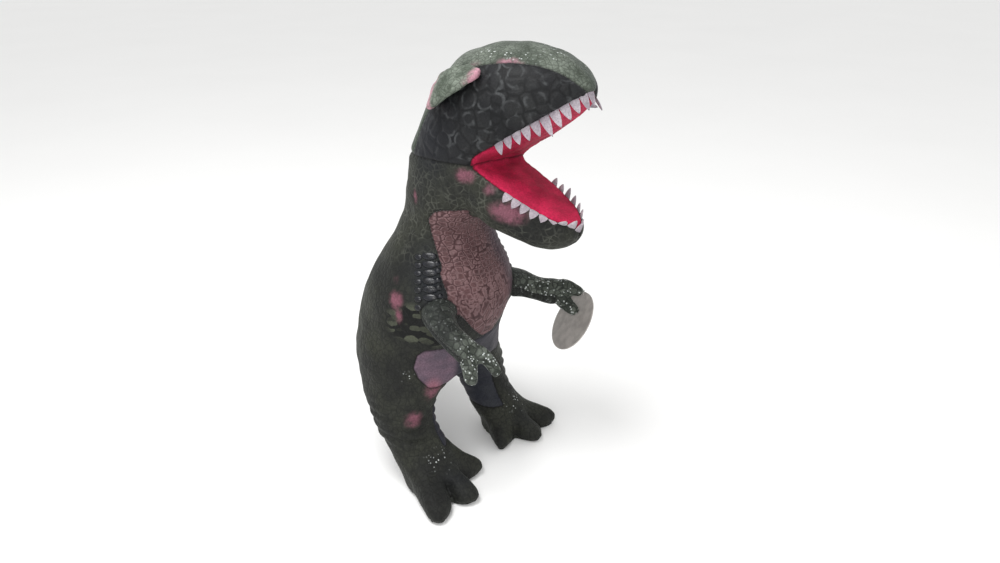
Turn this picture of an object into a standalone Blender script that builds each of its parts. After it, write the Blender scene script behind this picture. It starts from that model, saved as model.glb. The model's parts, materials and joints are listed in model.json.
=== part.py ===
"""Stuffed dinosaur: a standing plush theropod with an open mouth.

Every fabric panel is a thin closed shell, sewn round a closed filling of polyester fibre.
The toy faces -Y, its right side is at -X and +Z is up. Lengths are in metres.
"""
import math

import bpy
import numpy as np

# ---------------------------------------------------------------- driving dimensions
FABRIC = 0.0020          # thickness of the printed pile fabric with its seam allowance
FILL_GAP = 0.0010        # clearance between the fabric and the filling
SEAM_GAP = 0.0005        # clearance between two neighbouring panels
END_GAP = 0.0005         # how far a filling stops short of its skin's ends
HEAD_END_GAP = 0.0010    # the same in the neck and the jaw
JOINT_GAP = 0.0015       # clearance at the neck, where two bodies meet face to face
FELT = 0.0012            # thickness of the felt teeth
CARD = 0.0012            # thickness of the round swing tag
SHARP_ANGLE = 40.0       # degrees; edges that turn more than this are drawn sharp

NECK_Z = 0.306           # height of the plane where the neck meets the trunk
HIP_Z = 0.126            # height of the plane where the legs meet the trunk
ANKLE_Z = 0.044          # height of the plane where a foot meets its leg
SOLE = 0.0022            # thickness of a flat foot sole

HEAD_TILT = math.radians(7.0)     # the head leans to the toy's left
TILT_FROM_Z = 0.306
TILT_FULL_Z = 0.372
TILT_PIVOT_Z = 0.360

# Trunk outline from the hips up: height, centre depth, half width, half depth.
TRUNK_RINGS = (
    (HIP_Z + 0.0004, 0.110, 0.096, 0.072),
    (0.140, 0.112, 0.096, 0.076),
    (0.156, 0.112, 0.093, 0.079),
    (0.174, 0.107, 0.088, 0.083),
    (0.192, 0.101, 0.085, 0.085),
    (0.212, 0.094, 0.083, 0.085),
    (0.232, 0.089, 0.079, 0.081),
    (0.250, 0.086, 0.072, 0.073),
    (0.270, 0.084, 0.062, 0.062),
    (0.288, 0.081, 0.053, 0.053),
    (NECK_Z - JOINT_GAP, 0.078, 0.048, 0.049),
)
# Half angle of the front panels at each height, degrees: the gusset below, then the belly
# panel, which widens from its lower point to its top edge.
FRONT_ANGLE = ((HIP_Z, 52.0), (0.150, 30.0), (0.174, 7.0), (0.200, 27.0), (0.232, 44.0),
               (0.270, 58.0), (NECK_Z, 66.0))
BELLY_TIP_ROW = 3        # the trunk ring at the lower point of the belly panel

# Head stations from the neck to the snout: back or top point (y, z), front or palate
# point (y, z), half width, half width of the flat underside.
HEAD_RINGS = (
    ((0.127, NECK_Z), (0.029, NECK_Z), 0.048, 0.034),
    ((0.121, 0.338), (0.020, 0.338), 0.050, 0.040),
    ((0.112, 0.370), (0.013, 0.370), 0.055, 0.047),
    ((0.097, 0.408), (0.006, 0.379), 0.059, 0.047),
    ((0.079, 0.445), (-0.004, 0.385), 0.061, 0.046),
    ((0.052, 0.473), (-0.018, 0.394), 0.062, 0.044),
    ((0.018, 0.485), (-0.033, 0.405), 0.059, 0.041),
    ((-0.014, 0.488), (-0.048, 0.415), 0.053, 0.037),
    ((-0.044, 0.484), (-0.063, 0.426), 0.045, 0.032),
    ((-0.067, 0.474), (-0.075, 0.435), 0.034, 0.026),
    ((-0.082, 0.459), (-0.083, 0.441), 0.020, 0.016),
    ((-0.087, 0.451), (-0.086, 0.443), 0.009, 0.007),
)
HEAD_SEAM_ROW = 2        # the seam between the neck and the head runs along this station

# Jaw stations from the throat to the chin: underside point, mouth floor point, widths.
JAW_RINGS = (
    ((0.025, 0.311), (0.011, 0.370), 0.046, 0.044),
    ((0.003, 0.303), (-0.010, 0.361), 0.046, 0.043),
    ((-0.020, 0.297), (-0.030, 0.352), 0.042, 0.039),
    ((-0.043, 0.293), (-0.050, 0.343), 0.036, 0.033),
    ((-0.063, 0.294), (-0.067, 0.335), 0.028, 0.025),
    ((-0.078, 0.303), (-0.079, 0.330), 0.016, 0.013),
    ((-0.084, 0.313), (-0.083, 0.325), 0.007, 0.005),
)
JAW_CLEARANCE = 0.0035   # how far the back of the jaw stands off the front of the neck
MOUTH_FOLD = (0.010, 0.372)       # depth and height of the fold that the jaw turns about

LEG_RINGS = (            # height, distance from the middle, depth, half width, half depth
    (ANKLE_Z, 0.0660, 0.073, 0.0330, 0.0330),
    (0.060, 0.0665, 0.085, 0.0330, 0.0340),
    (0.076, 0.0665, 0.093, 0.0345, 0.0365),
    (0.094, 0.0645, 0.098, 0.0370, 0.0410),
    (0.108, 0.0600, 0.102, 0.0400, 0.0480),
    (0.118, 0.0550, 0.105, 0.0430, 0.0570),
    (HIP_Z - 0.0004, 0.0500, 0.106, 0.0460, 0.068),
)
LEG_STAGGER = 0.003      # the right leg stands this far behind the middle, the left before
LEG_STAGGER_SPAN = 0.04  # the height below the hip over which a leg comes to its stagger
LEG_FULL_SPAN = 0.03     # the height below the hip over which a leg comes to its fullness
HIP_DRAW_FROM_Z = 0.100  # from here up a leg is drawn in to the outline of the trunk
HIP_DRAW_SPAN = 0.020
LEG_FULLNESS = {"right": 1.03, "left": 0.95}      # how firmly each leg is filled
FOOT_SIZE = {"right": 0.99, "left": 0.90}

# Plan of a foot as distances from its centre, by angle from straight ahead; positive
# angles turn towards the other foot.
FOOT_CENTRE = (0.0690, 0.048)
FOOT_PLAN = ((0, 0.056), (13, 0.053), (27, 0.040), (40, 0.038), (52, 0.052), (63, 0.060),
             (76, 0.050), (100, 0.036), (140, 0.038), (180, 0.043), (220, 0.038),
             (262, 0.034), (290, 0.046), (303, 0.063), (313, 0.068), (324, 0.060),
             (333, 0.046), (345, 0.052))
FOOT_LEVELS = (          # height, share of the way from the plan to the ankle, plan scale
    (SOLE + 0.0004, 0.00, 0.930),
    (0.0090, 0.00, 1.000),
    (0.0170, 0.10, 0.985),
    (0.0250, 0.38, 0.960),
    (0.0340, 0.74, 0.960),
    (ANKLE_Z - 0.0004, 1.00, 1.000),
)

TAIL_RINGS = (           # x, y, z, radius from the rump to the tip, which rests on the floor
    (0.0447, 0.1832, 0.1560, 0.0340),
    (0.0580, 0.2040, 0.1475, 0.0345),
    (0.0735, 0.2200, 0.1235, 0.0325),
    (0.0960, 0.2370, 0.0910, 0.0295),
    (0.1210, 0.2530, 0.0600, 0.0240),
    (0.1460, 0.2650, 0.0340, 0.0180),
    (0.1680, 0.2730, 0.0150, 0.0120),
    (0.1850, 0.2770, 0.0040, 0.0050),
)
TAIL_STATIONS = 13
TAIL_TIP_ROW = 9         # the tail's padded tip starts at this station
TAIL_BASE_NORMAL = (0.480, 0.877, 0.0)

# Arms: shoulder, elbow, wrist and the two finger tips, for each side.
ARM_PATHS = {
    "right": ((-0.0645, 0.0385, 0.2180), (-0.0760, 0.0190, 0.2090), (-0.0760, -0.0080, 0.1960),
              (-0.0690, -0.0400, 0.1780), (-0.0930, -0.0240, 0.1740)),
    "left": ((0.0645, 0.0385, 0.2070), (0.0780, 0.0170, 0.2010), (0.0870, -0.0080, 0.1990),
             (0.0910, -0.0390, 0.2050), (0.0890, -0.0340, 0.1790)),
}
SHOULDER_NORMAL = (0.770, -0.638, 0.0)
ARM_RADII = (0.0200, 0.0190, 0.0170, 0.0155, 0.0148, 0.0140)
ARM_ROOT = 0.010         # length of arm that runs square to the shoulder
FINGER_RADII = (0.0074, 0.0084, 0.0080, 0.0058)
FINGER_GAP = 0.0004      # half of the clearance between the roots of the two fingers
FINGER_ROOT = 0.0010     # distance from the wrist to the finger's end
FINGER_BEND = 0.0100     # distance from the wrist to the bend of the finger
FINGER_SPREAD = 1.2      # how much further apart the fingers are at the bend

TAG_RADIUS = 0.036
TAG_CENTRE = (0.0920, -0.0270, 0.1667)
TAG_NORMAL = (-0.709, 0.575, 0.617)       # square to the card
TAG_HOLE_REACH = 0.029   # distance of the hole from the middle of the card
FASTENER_RADIUS = 0.0008
FASTENER_CLEARANCE = 0.0006
FASTENER_SLACK = 0.002   # how far the fastener bows between its ends
FASTENER_START = (0.0075, 0.0020, 0.0)    # from the tip of the finger to the fastener's end

BROW_ROWS = (4.0, 4.4, 4.8, 5.2, 5.6, 6.0)
BROW_COLUMN = 3.4        # how far down the side of the head the flap is sewn
BROW_HALF_BREADTH = (0.0070, 0.0140, 0.0170, 0.0160, 0.0125, 0.0060)
BROW_HALF_THICKNESS = (0.0035, 0.0060, 0.0068, 0.0064, 0.0052, 0.0030)
BROW_STAND_OFF = 0.0020
BROW_FREE_FROM = 0.2     # share of the half breadth, below the middle, where the lift starts
BROW_LIFT = 0.0050       # how far the free lower edge stands off the head

UPPER_TEETH = (0.011, 0.010, 0.011, 0.013, 0.013, 0.018, 0.014, 0.012, 0.009, 0.009)
LOWER_TEETH = (0.010, 0.010, 0.011, 0.011, 0.011, 0.010, 0.010, 0.009)
UPPER_TOOTH_ROWS = (3, 10)
LOWER_TOOTH_ROWS = (1, 6)
UPPER_SPLAY = (65.0, 35.0)        # degrees out from the mouth, at the corner and the front
LOWER_SPLAY = (100.0, 15.0)
TOOTH_BAND = 0.0025      # depth of the felt between two teeth
TOOTH_STAND_OFF = 0.0006


# ---------------------------------------------------------------- materials and objects
def make_material(name, colour, roughness, metallic=0.0):
    """A Principled material of one colour."""
    material = bpy.data.materials.new(name)
    material.use_nodes = True
    shader = material.node_tree.nodes["Principled BSDF"]
    shader.inputs["Base Color"].default_value = (*colour, 1.0)
    shader.inputs["Roughness"].default_value = roughness
    shader.inputs["Metallic"].default_value = metallic
    return material


def make_pivot(name, place, parent=None):
    """An empty at a joint; what moves with the joint is parented to it."""
    pivot = bpy.data.objects.new(name, None)
    pivot.empty_display_size = 0.02
    bpy.context.scene.collection.objects.link(pivot)
    pivot.parent = parent
    pivot["place"] = [float(value) for value in place]
    base = parent["place"] if parent else (0.0, 0.0, 0.0)
    pivot.location = [float(value) - start for value, start in zip(place, base)]
    return pivot


def make_object(name, points, faces, material, pivot):
    """An object with its origin on its pivot; the points are places on the whole toy."""
    mesh = bpy.data.meshes.new(name)
    points = np.array(points, float) - np.array(pivot["place"][:])
    mesh.from_pydata(points.tolist(), [], faces)
    mesh.update()
    mesh.shade_smooth()
    mesh.set_sharp_from_angle(angle=math.radians(SHARP_ANGLE))
    mesh.materials.append(material)
    body = bpy.data.objects.new(name, mesh)
    bpy.context.scene.collection.objects.link(body)
    body.parent = pivot
    return body


# ---------------------------------------------------------------- curves and surfaces
# Every ring runs anticlockwise seen from the end that the rings lead to, so that
# faces and normals point outwards.
def smooth_step(value):
    value = np.clip(value, 0.0, 1.0)
    return value * value * (3.0 - 2.0 * value)


def unit(vector):
    vector = np.array(vector, float)
    return vector / np.linalg.norm(vector)


def resample(stations, count):
    """Rows of numbers along a smooth curve through the given stations."""
    table = np.array(stations, float)
    last = len(table) - 1
    rows = []
    for place in np.linspace(0.0, last, count):
        start = min(int(place), last - 1)
        part = place - start
        here = table[start]
        there = table[start + 1]
        slope_in = 0.5 * (there - table[max(start - 1, 0)])
        slope_out = 0.5 * (table[min(start + 2, last)] - here)
        rows.append((2 * part ** 3 - 3 * part ** 2 + 1) * here
                    + (part ** 3 - 2 * part ** 2 + part) * slope_in
                    + (3 * part ** 2 - 2 * part ** 3) * there
                    + (part ** 3 - part ** 2) * slope_out)
    return np.array(rows)


def turn_angles(count):
    return np.linspace(0.0, 2.0 * math.pi, count, endpoint=False)


def tilt(points):
    """Lean points of the neck and head to the toy's left, more with height."""
    points = np.array(points, float)
    share = smooth_step((points[..., 2] - TILT_FROM_Z) / (TILT_FULL_Z - TILT_FROM_Z))
    angle = HEAD_TILT * share
    across = points[..., 0]
    height = points[..., 2] - TILT_PIVOT_Z
    leaned = points.copy()
    leaned[..., 0] = across * np.cos(angle) + height * np.sin(angle)
    leaned[..., 2] = TILT_PIVOT_Z - across * np.sin(angle) + height * np.cos(angle)
    return leaned


def grid_normals(grid):
    """Outward unit normals of closed rings; the end rings' stay in their own planes."""
    along = np.gradient(grid, axis=0)
    around = np.roll(grid, -1, axis=1) - np.roll(grid, 1, axis=1)
    normals = np.cross(around, along)
    for end in (0, -1):
        spokes = grid[end] - grid[end].mean(axis=0)
        axis = unit(np.cross(spokes, np.roll(spokes, -1, axis=0)).sum(axis=0))
        normals[end] -= np.outer(normals[end] @ axis, axis)
    return normals / np.linalg.norm(normals, axis=2, keepdims=True)


def quad_faces(rows, columns, closed, start=0, flip=False):
    """Triangles over a grid of point numbers, always split along the same diagonal."""
    faces = []
    for row in range(rows - 1):
        for column in range(columns if closed else columns - 1):
            low_left = start + row * columns + column
            low_right = start + row * columns + (column + 1) % columns
            high_left = low_left + columns
            high_right = low_right + columns
            pair = [(low_left, low_right, high_right), (low_left, high_right, high_left)]
            faces += [face[::-1] for face in pair] if flip else pair
    return faces


def loft_solid(name, grid, material, pivot):
    """A closed solid through closed rings, with a fan of triangles over each end."""
    rows, columns = grid.shape[:2]
    points = list(grid.reshape(-1, 3))
    faces = quad_faces(rows, columns, True)
    for row, flip in ((0, False), (rows - 1, True)):
        centre = len(points)
        points.append(grid[row].mean(axis=0))
        for column in range(columns):
            face = (centre, row * columns + (column + 1) % columns, row * columns + column)
            faces.append(face[::-1] if flip else face)
    return make_object(name, points, faces, material, pivot)


def shell_solid(name, outer, inner, material, pivot, closed=False):
    """A thin closed solid between two grids of points of the same size."""
    rows, columns = outer.shape[:2]
    count = rows * columns
    points = np.concatenate([outer.reshape(-1, 3), inner.reshape(-1, 3)])
    faces = quad_faces(rows, columns, closed) + quad_faces(rows, columns, closed, count, True)
    bottom = [(column, (column + 1) % columns) for column in range(columns - (not closed))]
    top_row = (rows - 1) * columns
    edges = bottom + [(top_row + second, top_row + first) for first, second in bottom]
    if not closed:
        edges += [((row + 1) * columns, row * columns) for row in range(rows - 1)]
        edges += [((row + 1) * columns - 1, (row + 2) * columns - 1) for row in range(rows - 1)]
    for first, second in edges:
        if first < second:
            faces.append((first, first + count, second + count))
            faces.append((first, second + count, second))
        else:
            faces.append((second, first, first + count))
            faces.append((second, first + count, second + count))
    return make_object(name, points, faces, material, pivot)


def pull_in(grid, distance):
    """Move the four edges of an open grid inwards along the surface."""
    grid = grid.copy()
    for edge, inside in ((0, 1), (-1, -2)):
        step = grid[:, inside] - grid[:, edge]
        grid[:, edge] += step / np.linalg.norm(step, axis=1, keepdims=True) * distance
    for edge, inside in ((0, 1), (-1, -2)):
        step = grid[inside] - grid[edge]
        grid[edge] += step / np.linalg.norm(step, axis=1, keepdims=True) * distance
    return grid


class Skin:
    """One stuffed part: its outer surface as closed rings of points, and its normals."""

    def __init__(self, grid, pivot):
        self.grid = grid
        self.pivot = pivot
        self.normals = grid_normals(grid)

    def filling(self, name, end_gap=END_GAP):
        """The fibre filling inside the skin, a little short of its ends."""
        grid = self.grid - self.normals * (FABRIC + FILL_GAP)
        for end, inside in ((0, 1), (-1, -2)):
            grid[end] += unit(grid[inside].mean(axis=0) - grid[end].mean(axis=0)) * end_gap
        return loft_solid(name, grid, FIBRE, self.pivot)

    def panel(self, name, columns, rows, material):
        """One fabric panel over some of the columns and rows."""
        count = self.grid.shape[1]
        chosen = [column % count for column in range(columns[0], columns[1] + 1)]
        base = pull_in(self.grid[rows[0]:rows[1] + 1][:, chosen], SEAM_GAP / 2)
        normals = self.normals[rows[0]:rows[1] + 1][:, chosen]
        return shell_solid(name, base, base - normals * FABRIC, material, self.pivot)

    def point(self, row, column):
        """A place on the skin and its outward normal, between rings and columns."""
        count = self.grid.shape[1]
        low = int(row)
        near = int(math.floor(column))
        up = row - low
        aside = column - near

        def blend(table):
            lower = table[low][near % count] * (1 - aside) + table[low][(near + 1) % count] * aside
            upper = (table[low + 1][near % count] * (1 - aside)
                     + table[low + 1][(near + 1) % count] * aside)
            return lower * (1 - up) + upper * up

        return blend(self.grid), unit(blend(self.normals))


def tube_rings(centres, radii, columns, axis=None):
    """Round rings along a path, each square to the path; the first may be given its axis."""
    centres = np.array(centres, float)
    tangents = np.gradient(centres, axis=0)
    if axis is not None:
        tangents[0] = axis
    rings = []
    for centre, tangent, radius in zip(centres, tangents, radii):
        sideways = unit(np.cross(tangent, (0.0, 0.0, 1.0)))
        upwards = unit(np.cross(sideways, tangent))
        angle = turn_angles(columns)
        rings.append(centre + radius * (np.outer(np.sin(angle), sideways)
                                        + np.outer(np.cos(angle), upwards)))
    return np.array(rings)


# ---------------------------------------------------------------- trunk, legs and feet
FRONT_COLUMNS = 6        # columns over the belly panel and the gusset below it
FLANK_COLUMNS = 10       # columns over each flank


def build_trunk():
    heights = [row[0] for row in FRONT_ANGLE]
    angles = [row[1] for row in FRONT_ANGLE]
    rings = []
    for height, depth, half_width, half_depth in TRUNK_RINGS:
        edge = math.radians(float(np.interp(height, heights, angles)))
        front = np.linspace(-edge, edge, FRONT_COLUMNS + 1)[:-1]
        flanks = np.linspace(edge, 2 * math.pi - edge, 2 * FLANK_COLUMNS + 1)[:-1]
        angle = np.concatenate([front, flanks])
        rings.append(np.stack([half_width * np.sin(angle), depth - half_depth * np.cos(angle),
                               np.full(len(angle), height)], axis=1))
    skin = Skin(np.array(rings), BODY)
    top = len(TRUNK_RINGS) - 1
    left_edge = FRONT_COLUMNS
    back = FRONT_COLUMNS + FLANK_COLUMNS
    skin.filling("torso_stuffing")
    skin.panel("belly_panel", (0, left_edge), (BELLY_TIP_ROW, top), BELLY_CLOTH)
    skin.panel("front_gusset", (0, left_edge), (0, BELLY_TIP_ROW), THIGH_CLOTH)
    skin.panel("left_flank_panel", (left_edge, back), (0, top), SCALE_CLOTH)
    skin.panel("right_flank_panel", (back, back + FLANK_COLUMNS), (0, top), SCALE_CLOTH)


LEG_COLUMNS = 16
INNER_LEG_COLUMNS = 6    # columns over the panel on the inside of the leg


def leg_stagger(side, height):
    return -side * LEG_STAGGER * float(smooth_step((HIP_Z - height) / LEG_STAGGER_SPAN))


def build_leg(side, prefix):
    fullness = LEG_FULLNESS[prefix]
    angle = turn_angles(LEG_COLUMNS)
    rings = []
    for height, across, depth, half_width, half_depth in LEG_RINGS:
        share = float(smooth_step((HIP_Z - height) / LEG_FULL_SPAN))
        full = 1.0 + (fullness - 1.0) * share
        ring_x = side * across - full * half_width * np.cos(angle)
        ring_y = depth + leg_stagger(side, height) - full * half_depth * np.sin(angle)
        _, hip_depth, hip_half_width, hip_half_depth = TRUNK_RINGS[0]
        reach = np.hypot(ring_x / hip_half_width, (ring_y - hip_depth) / hip_half_depth)
        near_hip = float(smooth_step((height - HIP_DRAW_FROM_Z) / HIP_DRAW_SPAN))
        draw = near_hip * (1.0 - 1.0 / np.maximum(reach, 1.0))
        ring_x -= draw * ring_x
        ring_y -= draw * (ring_y - hip_depth)
        rings.append(np.stack([ring_x, ring_y, np.full(LEG_COLUMNS, height)], axis=1))
    skin = Skin(np.array(rings), BODY)
    last = len(LEG_RINGS) - 1
    half = INNER_LEG_COLUMNS // 2
    inner = 0 if side > 0 else LEG_COLUMNS // 2
    skin.filling(prefix + "_leg_stuffing")
    skin.panel(prefix + "_inner_leg_panel", (inner - half, inner + half), (0, last), THIGH_CLOTH)
    skin.panel(prefix + "_outer_leg_panel", (inner + half, inner + LEG_COLUMNS - half), (0, last),
               SCALE_CLOTH)


FOOT_COLUMNS = 32


def build_foot(side, prefix):
    angles = [row[0] for row in FOOT_PLAN] + [360]
    reach = [row[1] for row in FOOT_PLAN] + [FOOT_PLAN[0][1]]
    turn = turn_angles(FOOT_COLUMNS)
    distance = FOOT_SIZE[prefix] * np.interp(np.degrees(-side * turn) % 360.0, angles, reach)
    full = LEG_FULLNESS[prefix]
    _, ankle_across, ankle_depth, ankle_half_width, ankle_half_depth = LEG_RINGS[0]
    step = leg_stagger(side, ANKLE_Z)
    rings = []
    for height, share, scale in FOOT_LEVELS:
        plan = np.stack([side * FOOT_CENTRE[0] + scale * distance * np.sin(turn),
                         FOOT_CENTRE[1] - scale * distance * np.cos(turn)], axis=1)
        ankle = np.stack([side * ankle_across + full * ankle_half_width * np.sin(turn),
                          ankle_depth + step - full * ankle_half_depth * np.cos(turn)], axis=1)
        level = np.full((FOOT_COLUMNS, 1), height)
        rings.append(np.hstack([plan + (ankle - plan) * share, level]))
    skin = Skin(np.array(rings), BODY)
    skin.filling(prefix + "_foot_stuffing")
    shell_solid(prefix + "_foot_upper", skin.grid, skin.grid - skin.normals * FABRIC,
                SCALE_CLOTH, BODY, closed=True)
    sole = np.array([rings[0], rings[0]])
    sole[0][:, 2] = 0.0
    sole[1][:, 2] = SOLE
    loft_solid(prefix + "_foot_sole", sole, SOLE_CLOTH, BODY)


# ---------------------------------------------------------------- tail
TAIL_COLUMNS = 16


def build_tail():
    """The tail down to its padded tip, which is a piece of its own and meets the floor."""
    stations = resample(TAIL_RINGS, TAIL_STATIONS)
    rings = tube_rings(stations[:, :3], stations[:, 3], TAIL_COLUMNS, TAIL_BASE_NORMAL)
    rings[:, :, 2] = np.maximum(rings[:, :, 2], 0.0)
    skin = Skin(rings[:TAIL_TIP_ROW + 1], TAIL)
    half = TAIL_COLUMNS // 2
    skin.filling("tail_stuffing")
    skin.panel("tail_left_panel", (0, half), (0, TAIL_TIP_ROW), SCALE_CLOTH)
    skin.panel("tail_right_panel", (half, TAIL_COLUMNS), (0, TAIL_TIP_ROW), SCALE_CLOTH)
    tip = rings[TAIL_TIP_ROW:].copy()
    tip[0] += unit(tip[1].mean(axis=0) - tip[0].mean(axis=0)) * SEAM_GAP
    loft_solid("tail_tip", tip, SCALE_CLOTH, TAIL)


# ---------------------------------------------------------------- head
CROWN_STEPS = 5          # steps from the middle of the top to the widest point
CHEEK_STEPS = 2          # steps from the widest point to the lip
PALATE_STEPS = 3         # steps from the lip to the middle of the palate
LIP_COLUMN = CROWN_STEPS + CHEEK_STEPS
MIDDLE_COLUMN = LIP_COLUMN + PALATE_STEPS
HEAD_COLUMNS = 2 * MIDDLE_COLUMN
WIDEST_AT = 0.40         # share of the section's height where it is widest


def head_section(dome, flat, half_width, flat_half_width, first_side):
    """A ring of the head or jaw, from the middle of its dome round by the first side."""
    dome = np.array([0.0, *dome])
    flat = np.array([0.0, *flat])
    half = []
    for angle in np.linspace(0.0, math.pi / 2, CROWN_STEPS, endpoint=False):
        half.append((half_width * math.sin(angle),
                     WIDEST_AT + (1.0 - WIDEST_AT) * math.cos(angle)))
    for angle in np.linspace(0.0, math.pi / 2, CHEEK_STEPS, endpoint=False):
        half.append((flat_half_width + (half_width - flat_half_width) * math.cos(angle),
                     WIDEST_AT * (1.0 - math.sin(angle))))
    for across in np.linspace(flat_half_width, 0.0, PALATE_STEPS + 1):
        half.append((across, 0.0))
    other_half = [(-across, up) for across, up in half[1:-1]][::-1]
    return np.array([flat + (dome - flat) * up + np.array([first_side * across, 0.0, 0.0])
                     for across, up in half + other_half])


CROWN_COLUMNS = 3        # columns from the middle of the head to the crown seam


def build_head():
    """The neck and head; column 0 is the middle of the back, then the right side."""
    rings = [head_section(*station, first_side=-1) for station in HEAD_RINGS]
    skin = Skin(tilt(rings), HEAD)
    last = len(HEAD_RINGS) - 1
    seam = HEAD_SEAM_ROW
    skin.filling("head_stuffing", HEAD_END_GAP)
    skin.panel("right_neck_panel", (0, MIDDLE_COLUMN), (0, seam), SCALE_CLOTH)
    skin.panel("left_neck_panel", (MIDDLE_COLUMN, HEAD_COLUMNS), (0, seam), SCALE_CLOTH)
    skin.panel("crown_panel", (-CROWN_COLUMNS, CROWN_COLUMNS), (seam, last), CROWN_CLOTH)
    skin.panel("right_head_panel", (CROWN_COLUMNS, LIP_COLUMN), (seam, last), DARK_CLOTH)
    skin.panel("left_head_panel", (-LIP_COLUMN, -CROWN_COLUMNS), (seam, last), DARK_CLOTH)
    skin.panel("palate_lining", (LIP_COLUMN, HEAD_COLUMNS - LIP_COLUMN), (seam, last), MOUTH_VELOUR)
    return skin


BROW_COLUMNS = 10


def build_brow(skin, side, prefix):
    """A padded brow flap, sewn along its upper edge, with a free lower edge."""
    spine = [skin.point(row, -side * BROW_COLUMN) for row in BROW_ROWS]
    places = np.array([place for place, normal in spine])
    tangents = np.gradient(places, axis=0)
    angle = turn_angles(BROW_COLUMNS)
    rings = []
    for index, (place, normal) in enumerate(spine):
        across = unit(np.cross(normal, tangents[index]))
        upwards = np.sign(across[2])
        thick = BROW_HALF_THICKNESS[index]
        broad = BROW_HALF_BREADTH[index]
        middle = place + normal * (thick + BROW_STAND_OFF)
        lift = BROW_LIFT * smooth_step(BROW_FREE_FROM - upwards * np.cos(angle))
        rings.append(middle + np.outer(np.cos(angle) * broad, across)
                     + np.outer(np.sin(angle) * thick + lift, normal))
    loft_solid(prefix + "_brow_flap", np.array(rings), CROWN_CLOTH, HEAD)


def build_jaw():
    """The lower jaw; column 0 is the middle of its underside, then the left side."""
    rings = np.array([head_section(*station, first_side=1) for station in JAW_RINGS])
    rings[:, :, 1] -= JAW_CLEARANCE
    skin = Skin(tilt(rings), JAW)
    last = len(JAW_RINGS) - 1
    skin.filling("jaw_stuffing", HEAD_END_GAP)
    skin.panel("left_jaw_panel", (0, LIP_COLUMN), (0, last), JAW_CLOTH)
    skin.panel("right_jaw_panel", (-LIP_COLUMN, 0), (0, last), JAW_CLOTH)
    skin.panel("mouth_floor_lining", (LIP_COLUMN, HEAD_COLUMNS - LIP_COLUMN), (0, last),
               MOUTH_VELOUR)
    return skin


def build_teeth(name, skin, side, turn, rows, lengths, splay):
    """A felt strip of pointed teeth along one lip; turn leads from the dome to the lip."""
    lip = turn * LIP_COLUMN
    inside = turn * (LIP_COLUMN + 1)
    count = 2 * len(lengths) + 1
    chosen = skin.grid[rows[0]:rows[1] + 1]
    line = resample(chosen[:, lip % HEAD_COLUMNS], count)
    inner_line = resample(chosen[:, inside % HEAD_COLUMNS], count)
    inwards = inner_line - line
    inwards /= np.linalg.norm(inwards, axis=1, keepdims=True)
    into_mouth = -turn * np.cross(np.gradient(line, axis=0), inwards)
    into_mouth /= np.linalg.norm(into_mouth, axis=1, keepdims=True)
    depths = np.full(count, TOOTH_BAND)
    depths[1::2] = lengths
    root = line + into_mouth * TOOTH_STAND_OFF + inwards * FELT
    angle = np.radians(np.linspace(*splay, count))[:, None]
    tips = root + (into_mouth * np.cos(angle) - inwards * np.sin(angle)) * depths[:, None]
    across = inwards * np.cos(angle) + into_mouth * np.sin(angle)
    near = np.array([root, tips])
    far = near + across * FELT
    grids = (far, near) if turn > 0 else (near, far)
    shell_solid(name, *grids, FELT_WHITE, skin.pivot)


# ---------------------------------------------------------------- arms and tag
ARM_COLUMNS = 12
FINGER_COLUMNS = 8


def build_arm(prefix, side, pivot):
    shoulder, elbow, wrist, upper_tip, lower_tip = (np.array(place) for place in ARM_PATHS[prefix])
    axis = np.array([side, 1.0, 1.0]) * SHOULDER_NORMAL
    path = resample([shoulder, shoulder + axis * ARM_ROOT, elbow, wrist], len(ARM_RADII))
    skin = Skin(tube_rings(path, ARM_RADII, ARM_COLUMNS, axis), pivot)
    last = len(path) - 1
    quarter = ARM_COLUMNS // 4
    skin.filling(prefix + "_arm_stuffing")
    skin.panel(prefix + "_arm_upper_panel", (-quarter, quarter), (0, last), ARM_CLOTH)
    skin.panel(prefix + "_arm_lower_panel", (quarter, 3 * quarter), (0, last), ARM_CLOTH)
    forward = unit(path[-1] - path[-2])
    for label, tip, other in (("upper", upper_tip, lower_tip), ("lower", lower_tip, upper_tip)):
        apart = unit(tip - wrist) - unit(other - wrist)
        apart = unit(apart - forward * np.dot(apart, forward))
        spread = apart * (FINGER_RADII[0] + FINGER_GAP)
        root = wrist + forward * FINGER_ROOT + spread
        bend = wrist + forward * FINGER_BEND + spread * FINGER_SPREAD
        line = resample([root, bend, tip], len(FINGER_RADII))
        rings = tube_rings(line, FINGER_RADII, FINGER_COLUMNS, forward)
        loft_solid(prefix + "_" + label + "_finger", rings, ARM_CLOTH, pivot)


TAG_COLUMNS = 40
FASTENER_STATIONS = 9
FASTENER_COLUMNS = 6


def build_tag():
    """The round card swing tag, square to TAG_NORMAL."""
    normal = unit(TAG_NORMAL)
    half = normal * CARD / 2
    rings = tube_rings([np.array(TAG_CENTRE) - half, np.array(TAG_CENTRE) + half],
                       (TAG_RADIUS, TAG_RADIUS), TAG_COLUMNS)
    loft_solid("swing_tag", rings, TAG_CARD, TAG)


def build_fastener():
    """The fine plastic fastener from the upper finger of the left hand to the tag's hole."""
    normal = unit(TAG_NORMAL)
    finger = np.array(ARM_PATHS["left"][3]) + FASTENER_START
    hole = TAG_HOLE + normal * (CARD / 2 + FASTENER_RADIUS + FASTENER_CLEARANCE)
    middle = (finger + hole) / 2 + normal * FASTENER_SLACK
    line = resample([finger, middle, hole], FASTENER_STATIONS)
    radii = [FASTENER_RADIUS] * FASTENER_STATIONS
    loft_solid("tag_fastener", tube_rings(line, radii, FASTENER_COLUMNS), NYLON, LEFT_ARM)


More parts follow.
